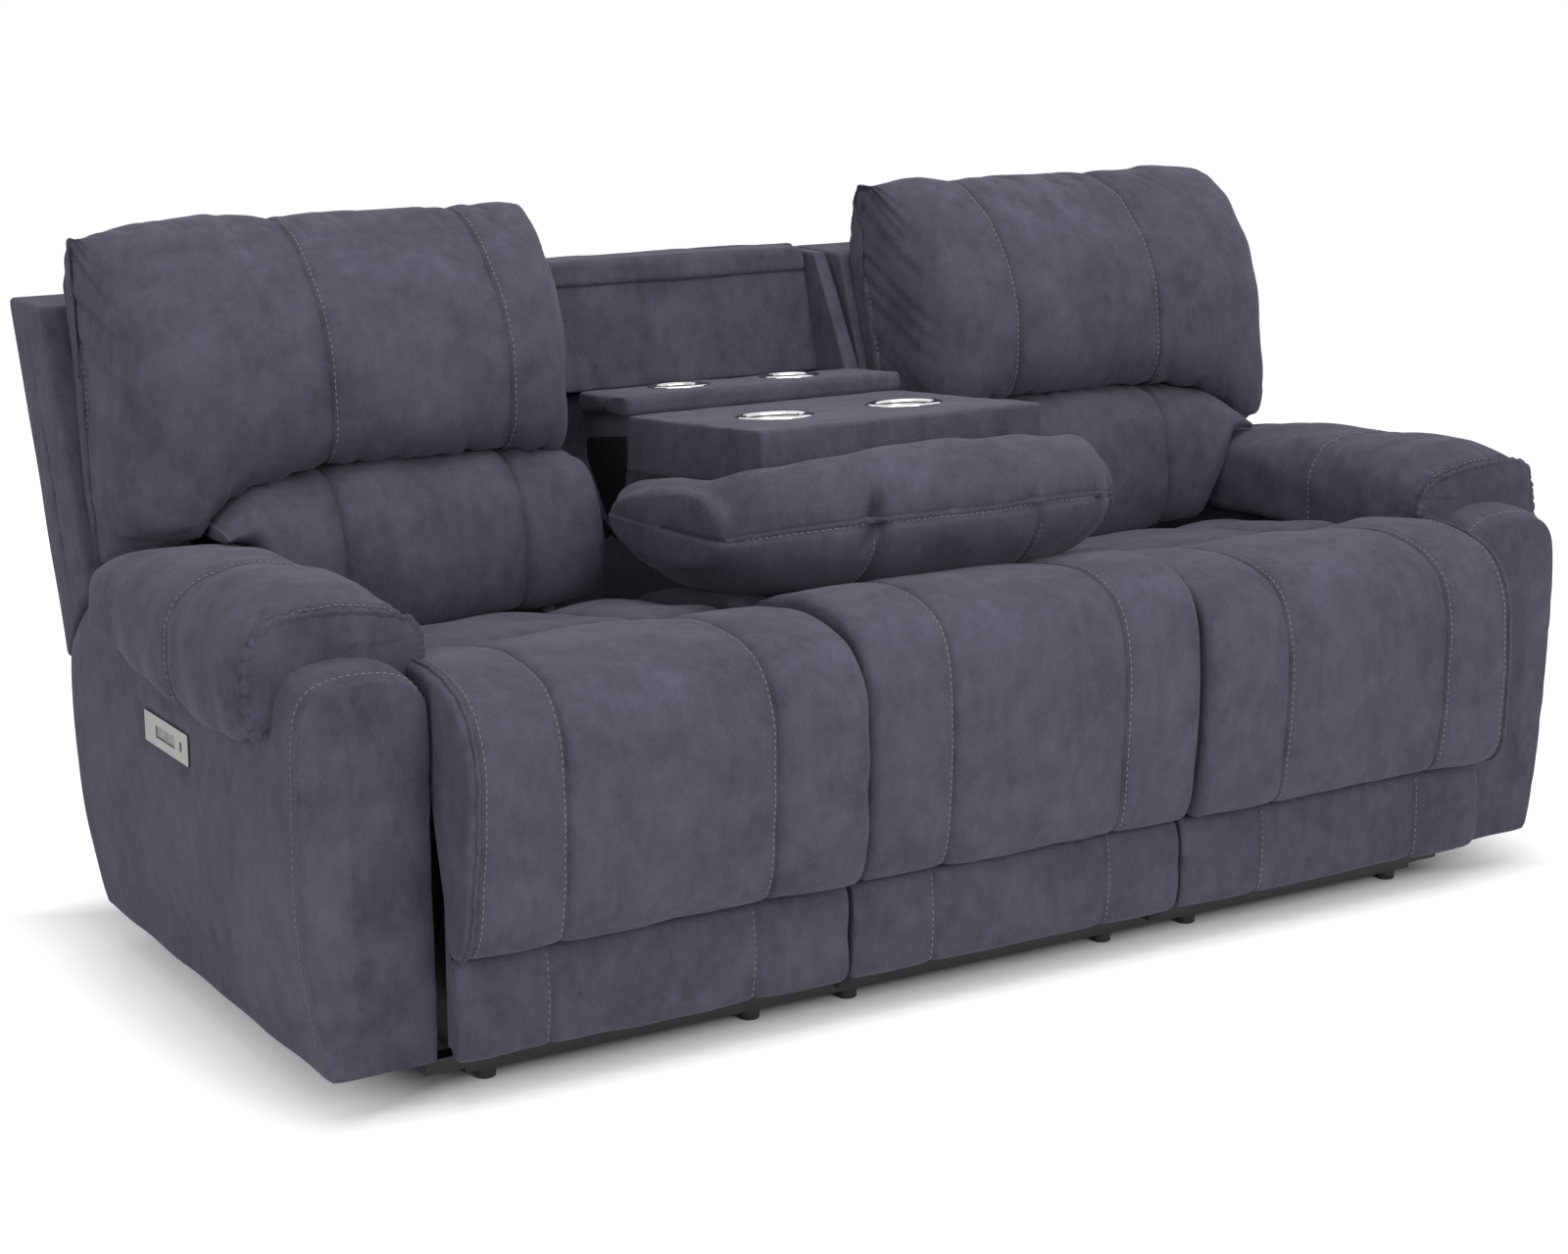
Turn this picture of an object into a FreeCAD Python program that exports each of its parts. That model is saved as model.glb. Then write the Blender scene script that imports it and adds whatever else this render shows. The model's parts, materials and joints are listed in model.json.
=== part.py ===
import FreeCAD, Part
import math
import os
from FreeCAD import Vector

# Three seat power sofa with a fold down console in the middle back.
# Millimetres, +X to the viewer's right, front towards -Y, +Z up, floor at Z = 0.
# All depths below are measured from the line of the front glides, and every
# piece is moved back by MIDDLE_Y when it is written, so the origin is the
# middle of the footprint. "left" and "right" are as seen from the front.

# Overall reach
FRONT_Y = -155.0            # foremost face of the two footrest pads
REAR_Y = 1005.0             # top rear edge of the outer back
MIDDLE_Y = (FRONT_Y + REAR_Y) / 2
BACK_TOP = 940.0            # top of the outer back
PILLOW_TOP = 1067.0         # top of the pillows
SOFT_GAP = 0.4              # clearance between soft pieces and their neighbours
RUN_GAP = 0.08              # radial clearance of a pin or rod in its bore

# Base
GLIDE_R = 15.0
GLIDE_H = 15.0
GLIDE_Y = (4.0, 666.0)
GLIDE_X = (226.0, 387.0, 793.0)
RAIL = 28.0                 # square of the base tubes
RAIL_FRONT = -12.0          # front face of the front tube
RAIL_REAR = 682.0           # rear face of the rear tube
TAB_REACH = 57.0            # from the ends of the front and rear tubes to the arms
TAB_RISE = 65.0             # height of the tab's upright leaf

# Seats
TABLE_HALF = 245.0          # half width of the folded table
WALL_IN = TABLE_HALF + 23.0      # inner face of the recess side walls
CENTRE_OUT = WALL_IN + 27.0      # outer side of the centre back
BACK_IN = CENTRE_OUT + 10.0      # inner side of an end back
SPLIT_X = CENTRE_OUT - 8.0       # line between the centre seat and an end seat
SEAT_GAP = 3.0              # half of the slit between two seats
ARM_IN = 885.0              # inner face of an arm
RAIL_HALF = ARM_IN - TAB_REACH
SEAT_OUT = ARM_IN - 5.0     # outer side of an end seat's soft parts
SEAM_X = (436.0, 745.0)     # sewn channels of an end seat
SEAM_CENTRE = 147.0         # sewn channels of the centre seat
CHANNEL = 4.0               # depth of a sewn channel
CROWN = 5.0                 # swell of a cushion between its channels
SEAT_BOTTOM = 362.0
SPRING_H = 4.2              # spring wire and its clearance under a cushion
SEAT_TOP = 487.0
SEAT_FRONT = 76.0           # front face of the seat cushions
SEAT_REAR = 545.0
DECK_T = 14.0               # plywood thickness
DECK_RISE = 18.0            # top of the carriage deck above the tilt pin

# Footrest: pad and roll share one radius about the tilt pin
PIN_Y = -60.0
PIN_Z = 462.0
ROLL_R = PIN_Y - FRONT_Y - CROWN    # pad face stays flush with the seat when raised
PAD_BOTTOM = 213.0
BOARD_FRONT = -80.0         # front face of the footrest board
BOARD_T = 16.0
PANEL_TOP = 206.0
PANEL_BOTTOM = 72.0
PANEL_FACE = -98.0
SLIDE_TRAVEL = 200.0        # how far the footrest carriage runs out

# Mechanism
PLATE_T = 4.0
PLATE_X = (BACK_IN + 23.0, RAIL_HALF - 4.0)   # outer faces of an end seat's side plates
PLATE_TOP = 300.0
BAR_T = 8.0
BAR_H = 24.0
BAR_Z = 262.0
BAR_REAR = 400.0
TILT_PIN_R = 5.0
ROD_R = 7.0
HINGE_Y = 600.0             # recline axis
HINGE_Z = 360.0
TUBE_R = 13.0               # torque tube on the recline axis
CRANK_R = 70.0              # crank below the torque tube
RECLINE = 30.0              # degrees

# Backs
LEAN = 0.36                 # run of the outer back per rise
PANEL_T = 15.0
BOX_DEPTH = 145.0           # depth of the back box behind the pillow
BACK_LOW = 400.0            # lower edge of the outer back between the arms
WING_LOW = 428.0            # lower tip of the outer back over an arm
WING_R = 222.0              # wing clears the arm by this radius about the hinge
PILLOW_IN = BACK_IN + 20.0
PILLOW_CROWN = 6.0
CREASE_GAP = 3.0            # slit between pillow and lumbar pad
REST_GAP = 0.3              # between a cushion and the board that carries it

# Arms
ARM_W = 176.0
ARM_BOW = 26.0              # how far the outer side bows out above its foot
ARM_OUT = ARM_IN + ARM_W
ARM_FOOT = ARM_OUT - ARM_BOW
ARM_FRONT = -57.0
ARM_REAR = 781.0
ARM_BOTTOM = 56.0
ARM_SKIN = 20.0             # board and padding of an arm panel
ARM_REAR_R = 213.0          # rounded rear shoulder of an arm about the hinge
ARM_CORNER = (542.0, 572.0, 557.0)   # top of the front panel: inner, peak, outer

BACK_OUT = ARM_OUT - 1.0    # outer side of an end back
PILLOW_OUT = ARM_OUT - 39.0
LUMBAR_OUT = ARM_IN - 24.0

# Switch on the outer side of each arm
PLATE_Y = (325.0, 490.0)
PLATE_Z = (384.0, 428.0)
SWITCH_PLATE_T = 3.0
WINDOW_Y = (375.0, 447.0)
WINDOW_Z = (397.5, 414.5)
USB_Y = 352.0
USB_W = 6.0
USB_H = 14.0
HOUSING_D = 24.0
KEY_GAP = 0.5

# Centre back and console
CENTRE_REAR_LOW = 880.0     # rear face of the centre back at BACK_LOW
TABLE_FRONT = (204.0, 782.0)     # top front edge of the folded table
TABLE_LEN = 407.5
TABLE_T = 85.0
TABLE_TILT = 4.93           # degrees, falls towards the rear
TRAY_LAP = 25.5             # how far the tray reaches over the table's rear end
TRAY_FROM = TABLE_LEN - TRAY_LAP
TRAY_LEN = 163.0
TRAY_RISE = 30.0
TRAY_HALF = TABLE_HALF + 5.0
CONSOLE_Y = 633.0           # console hinge
CONSOLE_Z = 570.0
CONSOLE_PIN_R = 6.0
CONSOLE_OPEN = 100.0        # degrees the console swings up
CUP_FRONT_X = TABLE_HALF - 130.0
CUP_FRONT_S = 175.7
CUP_FRONT_R = 47.0
CUP_REAR_X = TABLE_HALF - 143.0
CUP_REAR_S = TRAY_FROM + 104.0
CUP_REAR_R = 37.0
CUP_DEPTH = 68.0
CUP_WALL = 1.5
RING_LIP = 13.0
RING_T = 3.0
RECESS_GAP = 6.0            # raised table to recess board
WALL_DEPTH = 120.0          # depth of the recess side walls at the top
CENTRE_LEG_FRONT = 78.0     # front of the centre back's legs behind the rear tube
LOW_PANEL_SET = 82.0        # low rear panels behind the rear tube
LOW_PANEL_T = 12.0
LOW_PANEL_TOP = 326.0


# Helpers

def box(x0, x1, y0, y1, z0, z1):
    return Part.makeBox(x1 - x0, y1 - y0, z1 - z0, Vector(x0, y0, z0))


def on_yz(x):
    return lambda a, b: Vector(x, a, b)


def on_xz(y):
    return lambda a, b: Vector(a, y, b)


def wire(path, put):
    """Closed wire. A step is (a, b) for a line, or (mid a, mid b, a, b) for an arc."""
    here = put(*path[0])
    edges = []
    for step in path[1:] + [path[0]]:
        there = put(*step[-2:])
        if (there - here).Length < 1e-6:
            continue
        if len(step) == 4:
            edges.append(Part.Arc(here, put(*step[:2]), there).toShape())
        else:
            edges.append(Part.LineSegment(here, there).toShape())
        here = there
    return Part.Wire(edges)


def prism_x(path, x0, x1):
    return Part.Face(wire(path, on_yz(x0))).extrude(Vector(x1 - x0, 0, 0))


def prism_y(path, y0, y1):
    return Part.Face(wire(path, on_xz(y0))).extrude(Vector(0, y1 - y0, 0))


def rod(centre, axis, r, length):
    return Part.makeCylinder(r, length, Vector(*centre), Vector(*axis))


def rod_x(y, z, r, x0, x1):
    return rod((x0, y, z), (1, 0, 0), r, x1 - x0)


def rod_y(x, z, r, y0, y1):
    return rod((x, y0, z), (0, 1, 0), r, y1 - y0)


def scaled(path, centre, k):
    """The path shrunk towards a centre point by the factor k."""
    out = []
    for step in path:
        moved = []
        for index, value in enumerate(step):
            mid = centre[index % 2]
            moved.append(mid + (value - mid) * k)
        out.append(tuple(moved))
    return out


def cushion(stations, path_at, centre):
    """Ruled loft along X. A station is (x, inward draw of the face, end scale)."""
    wires = []
    for x, draw, k in stations:
        wires.append(wire(scaled(path_at(x, draw), centre, k), on_yz(x)))
    return Part.makeLoft(wires, True, True)


def stations_between(x0, x1, seams, crown):
    """Drawn in ends, a shallow channel at each seam and a crown between them."""
    out = [(x0, 9.0, 0.93), (x0 + 8.0, 4.0, 0.975), (x0 + 30.0, 0.0, 1.0)]
    last = x0 + 30.0
    for seam in seams:
        out.append(((last + seam) / 2, -crown, 1.0))
        out.append((seam - 9.0, 0.0, 1.0))
        out.append((seam, CHANNEL, 1.0))
        out.append((seam + 9.0, 0.0, 1.0))
        last = seam + 9.0
    out.append(((last + x1 - 30.0) / 2, -crown, 1.0))
    out += [(x1 - 30.0, 0.0, 1.0), (x1 - 8.0, 4.0, 0.975), (x1, 9.0, 0.93)]
    return out


def mirrored(shape):
    return shape.mirror(Vector(0, 0, 0), Vector(1, 0, 0))


def save(name, solids):
    shape = Part.makeCompound(solids) if len(solids) > 1 else solids[0]
    shape = shape.copy()
    shape.translate(Vector(0, -MIDDLE_Y, 0))
    shape.exportStep("parts/" + name + ".step")
    for solid in solids:
        if not solid.isValid() or solid.Volume <= 0:
            print("check", name)


def both(name, solids):
    """Writes the right hand piece and its mirror image."""
    save(name + "_right", solids)
    save(name + "_left", [mirrored(s) for s in solids])


def with_mirror(solids):
    return solids + [mirrored(s) for s in solids]


# Base frame: welded square tubes on glides, with tabs that carry the arms

def make_base():
    top = GLIDE_H + RAIL
    front = box(-RAIL_HALF, RAIL_HALF, RAIL_FRONT, RAIL_FRONT + RAIL, GLIDE_H, top)
    rear = box(-RAIL_HALF, RAIL_HALF, RAIL_REAR - RAIL, RAIL_REAR, GLIDE_H, top)
    runs = []
    for x in GLIDE_X:
        run = box(x - RAIL / 2, x + RAIL / 2, RAIL_FRONT + RAIL, RAIL_REAR - RAIL, GLIDE_H, top)
        runs.append(run)
    tabs = []
    for y in (RAIL_FRONT, RAIL_REAR - RAIL):
        tabs.append(box(RAIL_HALF, ARM_IN - 5.0, y, y + RAIL, GLIDE_H + 8.0, top))
        tabs.append(box(ARM_IN - 5.0, ARM_IN, y, y + RAIL, GLIDE_H + 8.0, top + TAB_RISE))
    save("base_frame", [front, rear] + with_mirror(runs) + with_mirror(tabs))
    feet = []
    for x in GLIDE_X:
        for y in GLIDE_Y:
            foot = rod((x, y, 0), (0, 0, 1), GLIDE_R, GLIDE_H)
            feet.append(foot.makeFillet(2.0, [foot.Edges[2]]))
    save("glides", with_mirror(feet))


# Arms: padded side, front and top panels on a wooden frame, and a rolled pad

def arm_side_path():
    """Side view of an arm with its rounded rear shoulder about the recline axis."""
    def shoulder(angle):
        a = math.radians(angle)
        return HINGE_Y + ARM_REAR_R * math.cos(a), HINGE_Z + ARM_REAR_R * math.sin(a)
    high = shoulder(60.0)
    low = shoulder(14.0)
    top = ARM_CORNER[0]
    return [
        (ARM_FRONT + ARM_SKIN, ARM_BOTTOM), (ARM_REAR, ARM_BOTTOM), low,
        shoulder(37.0) + high, (high[0] - 15.0, top), (ARM_FRONT + ARM_SKIN, top)]


def arm_outer_face(x):
    """Outer side in the front view: bows from the foot to the full width."""
    return [
        (x - ARM_OUT + ARM_FOOT, ARM_BOTTOM),
        (x - 7.0, ARM_BOTTOM + 96.0, x, ARM_BOTTOM + 214.0),
        (x, ARM_CORNER[2])]


def make_arms():
    inner_z, peak_z, outer_z = ARM_CORNER
    silhouette = prism_x(arm_side_path(), ARM_IN - 50.0, ARM_OUT + 50.0)
    outer = arm_outer_face(ARM_OUT)
    back_of_outer = [
        (ARM_OUT - ARM_SKIN, inner_z), (ARM_OUT - ARM_SKIN, ARM_BOTTOM + 214.0),
        (ARM_OUT - ARM_SKIN - 7.0, ARM_BOTTOM + 96.0, ARM_FOOT - ARM_SKIN, ARM_BOTTOM)]
    skin = prism_y(outer[:2] + [(ARM_OUT, inner_z)] + back_of_outer, ARM_FRONT, ARM_REAR + 40.0)
    skin = skin.common(silhouette)
    pocket = box(ARM_OUT - 60.0, ARM_OUT + 5.0, PLATE_Y[0] + 8.0, PLATE_Y[1] - 8.0,
                 PLATE_Z[0] + 5.0, PLATE_Z[1] - 5.0)
    skin = skin.cut(pocket)
    lining = box(ARM_IN, ARM_IN + ARM_SKIN, ARM_FRONT + ARM_SKIN, ARM_REAR + 40.0,
                 ARM_BOTTOM, inner_z).common(silhouette)
    rear_path = arm_side_path()
    strip = prism_x(rear_path, ARM_IN + ARM_SKIN, ARM_FOOT - ARM_SKIN)
    hollow = prism_x(rear_path, ARM_IN, ARM_OUT)
    hollow.translate(Vector(0, -12.0, 0))
    both("arm_side_panels", [skin, lining, strip.cut(hollow)])

    front_path = [(ARM_IN, ARM_BOTTOM)] + outer + [
        ((ARM_IN + ARM_OUT) / 2, peak_z), (ARM_IN, inner_z)]
    front = prism_y(front_path, ARM_FRONT, ARM_FRONT + ARM_SKIN)
    cap_path = [
        (ARM_IN, inner_z), (ARM_OUT, inner_z), (ARM_OUT, outer_z),
        ((ARM_IN + ARM_OUT) / 2, peak_z)]
    cap = prism_y(cap_path, ARM_FRONT + ARM_SKIN, HINGE_Y - 10.0)
    both("arm_front_panel", [front, cap])

    x0, x1 = ARM_IN + ARM_SKIN, ARM_FOOT - ARM_SKIN
    y0, y1 = ARM_FRONT + ARM_SKIN, ARM_REAR - ARM_SKIN
    post = 45.0
    board = 20.0
    frame = [
        box(x0, x1, y0, y0 + board, ARM_BOTTOM, inner_z - board),
        box(x0, x1, y1 - board, y1 - 1.0, ARM_BOTTOM, 410.0),
        box(x0, x1, y0 + board, y1 - board, ARM_BOTTOM, ARM_BOTTOM + board),
        box(x0, x1, y0, HINGE_Y + 60.0, inner_z - board, inner_z),
        box(x0, x0 + post, HINGE_Y - post, HINGE_Y, ARM_BOTTOM + board, inner_z - board)]
    both("arm_frame", frame)

    pad = arm_pad()
    both("arm_pad", [pad])


def arm_pad_path(lift, low, k):
    """Front view of the rolled pad: hangs over the outer side, crowned on top."""
    mid = (ARM_IN + ARM_OUT) / 2
    inner_z, peak_z, outer_z = ARM_CORNER
    hang = ARM_OUT + SOFT_GAP * 2
    path = [
        (ARM_IN - 14.0, inner_z + 14.0), (ARM_IN - 1.0, inner_z + SOFT_GAP),
        (mid, peak_z + SOFT_GAP), (hang, outer_z + SOFT_GAP), (hang, low),
        (ARM_OUT + 40.0, low + 60.0, ARM_OUT + 14.0, 622.0 + lift),
        (mid + 6.0, 664.0 + lift, ARM_IN - 10.0, 612.0 + lift),
        (ARM_IN - 20.0, 580.0 + lift / 2, ARM_IN - 14.0, inner_z + 14.0)]
    centre = (mid, 590.0)
    grown = []
    for step in path:
        moved = list(step)
        for index in range(0, len(step), 2):
            a, b = step[index], step[index + 1]
            if b > outer_z + 12.0 or a > hang + 5.0:
                moved[index] = centre[0] + (a - centre[0]) * k
                moved[index + 1] = centre[1] + (b - centre[1]) * k
        grown.append(tuple(moved))
    return grown


def arm_pad():
    rows = [
        (2.0, -16.0, 505.0, 0.93), (12.0, -3.0, 495.0, 0.985), (50.0, 2.0, 488.0, 1.0),
        (190.0, 2.0, 474.0, 1.0), (300.0, -4.0, 482.0, 0.985), (420.0, -6.0, 496.0, 1.0),
        (560.0, -18.0, 518.0, 0.99), (596.0, -26.0, 526.0, 0.93)]
    wires = [wire(arm_pad_path(lift, low, k), on_xz(y)) for y, lift, low, k in rows]
    return Part.makeLoft(wires, True, True)


# Switches: a metal plate in each arm's outer side with two rocker keys

def make_switches():
    x = ARM_OUT
    window = box(x - 5.0, x + 5.0, WINDOW_Y[0], WINDOW_Y[1], WINDOW_Z[0], WINDOW_Z[1])
    mid_z = (PLATE_Z[0] + PLATE_Z[1]) / 2
    usb = box(x - 14.0, x + 5.0, USB_Y - USB_W / 2, USB_Y + USB_W / 2,
              mid_z - USB_H / 2, mid_z + USB_H / 2)
    plate = box(x, x + SWITCH_PLATE_T, PLATE_Y[0], PLATE_Y[1], PLATE_Z[0], PLATE_Z[1])
    plate = plate.makeFillet(3.0, [e for e in plate.Edges if abs(e.tangentAt(0).x) > 0.9])
    both("switch_plate", [plate.cut(window).cut(usb)])

    housing = box(x - HOUSING_D, x, PLATE_Y[0] + 10.0, PLATE_Y[1] - 10.0,
                  PLATE_Z[0] + 6.0, PLATE_Z[1] - 6.0)
    well = box(x - 12.0, x + 5.0, WINDOW_Y[0], WINDOW_Y[1], WINDOW_Z[0], WINDOW_Z[1])
    save("switch_housings", with_mirror([housing.cut(well).cut(usb)]))

    length = (WINDOW_Y[1] - WINDOW_Y[0]) / 2
    for number, start in enumerate((WINDOW_Y[0], WINDOW_Y[0] + length)):
        y0, y1 = start + KEY_GAP, start + length - KEY_GAP
        mid = (y0 + y1) / 2
        side = [(x - 4.0, y0), (x - 4.0, y1), (x + 1.8, y1), (x + 0.9, mid, x + 1.8, y0)]
        face = wire(side, lambda a, b: Vector(a, b, WINDOW_Z[0] + KEY_GAP))
        key = Part.Face(face).extrude(Vector(0, 0, WINDOW_Z[1] - WINDOW_Z[0] - 2 * KEY_GAP))
        stem = box(x - 11.9, x - 4.0, mid - 1.5, mid + 1.5, WINDOW_Z[0] + 3.0, WINDOW_Z[1] - 3.0)
        both("rocker_key_" + ("front", "rear")[number], [key.fuse(stem)])


# Seats

def seat_path(x, draw):
    top = SEAT_TOP - draw
    return [
        (SEAT_FRONT, SEAT_BOTTOM), (SEAT_REAR, SEAT_BOTTOM), (SEAT_REAR, top - 26.0),
        (SEAT_REAR - 4.0, top - 6.0, SEAT_REAR - 24.0, top - 2.0),
        (320.0, top + 6.0, 150.0, top + 8.0),
        (110.0, top + 14.0, SEAT_FRONT, top + 16.0)]


def footrest_pad_path(x, draw):
    face = FRONT_Y + CROWN + draw
    return [
        (BOARD_FRONT, PAD_BOTTOM), (face + 22.0, PAD_BOTTOM),
        (face + 8.0, PAD_BOTTOM + 22.0, face + 5.0, PAD_BOTTOM + 60.0),
        (face + 1.5, PAD_BOTTOM + 150.0, face, PIN_Z - SOFT_GAP),
        (BOARD_FRONT, PIN_Z - SOFT_GAP)]


def roll_path(x, draw):
    r = ROLL_R - draw
    slope = math.radians(45.0)
    crown = PIN_Z + r
    return [
        (PIN_Y - r, PIN_Z),
        (PIN_Y - r * math.cos(slope), PIN_Z + r * math.sin(slope), PIN_Y, crown),
        (PIN_Y + 60.0, crown - 2.0, SEAT_FRONT - 16.0, crown - 34.0),
        (SEAT_FRONT - 4.8, crown - 46.0, SEAT_FRONT - SOFT_GAP, crown - 62.0),
        (SEAT_FRONT - SOFT_GAP, PIN_Z + DECK_RISE), (PIN_Y - 32.0, PIN_Z + DECK_RISE),
        (PIN_Y - 32.0, PIN_Z)]


def centre_pad_path(x, draw):
    face = FRONT_Y + 17.0 + draw
    crown = 581.0 - draw
    return [
        (BOARD_FRONT, PAD_BOTTOM), (face + 20.0, PAD_BOTTOM),
        (face + 6.0, PAD_BOTTOM + 22.0, face + 4.0, PAD_BOTTOM + 60.0),
        (face - 1.0, 370.0, face, 460.0),
        (face + 30.0, crown - 34.0, -30.0, crown),
        (30.0, crown - 5.0, SEAT_FRONT - 16.0, crown - 50.0),
        (SEAT_FRONT - 4.8, crown - 64.5, SEAT_FRONT - SOFT_GAP, crown - 82.0),
        (SEAT_FRONT - SOFT_GAP, PIN_Z + DECK_RISE), (BOARD_FRONT, PIN_Z + DECK_RISE)]


def panel_path(x, draw):
    face = PANEL_FACE + draw
    return [
        (BOARD_FRONT, PANEL_BOTTOM), (face + 8.0, PANEL_BOTTOM),
        (face, (PANEL_TOP + PANEL_BOTTOM) / 2, face + 3.0, PANEL_TOP),
        (BOARD_FRONT, PANEL_TOP)]


def make_seats():
    end = stations_between(SPLIT_X + SEAT_GAP, SEAT_OUT, SEAM_X, CROWN)
    middle = stations_between(-SPLIT_X + SEAT_GAP, SPLIT_X - SEAT_GAP,
                              (-SEAM_CENTRE, SEAM_CENTRE), CROWN)
    both("seat_cushion", [cushion(end, seat_path, (310.0, 420.0))])
    save("seat_cushion_centre", [cushion(middle, seat_path, (310.0, 420.0))])
    both("footrest_pad", [cushion(end, footrest_pad_path, (BOARD_FRONT, 340.0))])
    both("chaise_roll", [cushion(end, roll_path, (PIN_Y + 20.0, PIN_Z + DECK_RISE))])
    save("front_pad_centre", [cushion(middle, centre_pad_path, (BOARD_FRONT, PIN_Z + DECK_RISE))])
    thin_end = [(x, d / 2, 1.0) for x, d, k in end]
    thin_middle = [(x, d / 2, 1.0) for x, d, k in middle]
    both("lower_panel", [cushion(thin_end, panel_path, (BOARD_FRONT, 140.0))])
    save("lower_panel_centre", [cushion(thin_middle, panel_path, (BOARD_FRONT, 140.0))])
    make_seat_frames()
    make_springs()


def make_seat_frames():
    """Hardwood rings under the cushions, and the box that carries the centre seat."""
    rail = 22.0
    outer_side = PLATE_X[1] - PLATE_T - 4.0
    inner_side = PLATE_X[0] + PLATE_T + 4.0
    z0, z1 = PLATE_TOP, SEAT_BOTTOM - SPRING_H
    boards = []
    x0, x1 = SPLIT_X + SEAT_GAP + 8.0, SEAT_OUT - 2.0
    ring = [
        box(x0, x1, SEAT_FRONT, SEAT_FRONT + rail, z0, z1),
        box(x0, x1, SEAT_REAR - rail, SEAT_REAR, z0, z1),
        box(x0, inner_side, SEAT_FRONT + rail, SEAT_REAR - rail, z0, z1),
        box(outer_side, x1, SEAT_FRONT + rail, SEAT_REAR - rail, z0, z1)]
    boards += with_mirror(ring)
    low = GLIDE_H + RAIL
    half = SPLIT_X - SEAT_GAP
    side = box(half - rail, half - 2.0, BOARD_FRONT + BOARD_T, SEAT_REAR, low, z1)
    boards += with_mirror([side])
    for y in (SEAT_FRONT, SEAT_REAR - rail):
        boards.append(box(rail - half, half - rail, y, y + rail, z0, z1))
    boards.append(box(2.0 - half, half - 2.0, BOARD_FRONT, BOARD_FRONT + BOARD_T,
                      PANEL_BOTTOM + 8.0, PIN_Z + DECK_RISE))
    boards.append(box(2.0 - half, half - 2.0, BOARD_FRONT + BOARD_T, SEAT_FRONT - 1.0,
                      PIN_Z + 4.0, PIN_Z + DECK_RISE))
    boards.append(box(rail - half, half - rail, SEAT_FRONT - 1.0 - rail, SEAT_FRONT - 1.0,
                      low, PIN_Z + 4.0))
    save("seat_frames", boards)


def spring_path(x, y0, y1, swing, steps):
    """Zigzag wire in the seat plane: cross runs joined by half circles."""
    pitch = (y1 - y0) / steps
    r = pitch / 2
    edges = []
    side = 1.0
    y = y0
    for step in range(steps):
        a = Vector(x - side * swing, y, 0)
        b = Vector(x + side * swing, y, 0)
        c = Vector(x + side * swing, y + pitch, 0)
        bend = Vector(x + side * (swing + r), y + r, 0)
        edges.append(Part.LineSegment(a, b).toShape())
        edges.append(Part.Arc(b, bend, c).toShape())
        side = -side
        y += pitch
    edges.append(Part.LineSegment(c, Vector(x + side * swing, y, 0)).toShape())
    return edges


def make_springs():
    """Sinuous wires under each seat, held between the front and rear rails."""
    wire_r = (SPRING_H - SOFT_GAP) / 2
    z = SEAT_BOTTOM - SPRING_H + wire_r
    centres = [-160.0, -53.0, 53.0, 160.0]
    for x in (400.0, 520.0, 640.0, 760.0):
        centres += [x, -x]
    springs = []
    for x in centres:
        edges = spring_path(x, SEAT_FRONT + 12.0, SEAT_REAR - 12.0, 16.0, 14)
        path = Part.Wire(edges)
        path.translate(Vector(0, 0, z))
        start = edges[0].Vertexes[0].Point + Vector(0, 0, z)
        ring = Part.Wire(Part.makeCircle(wire_r, start, Vector(1, 0, 0)))
        springs.append(path.makePipeShell([ring], True, False))
    save("seat_springs", springs)


# Mechanism of an end seat

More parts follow.
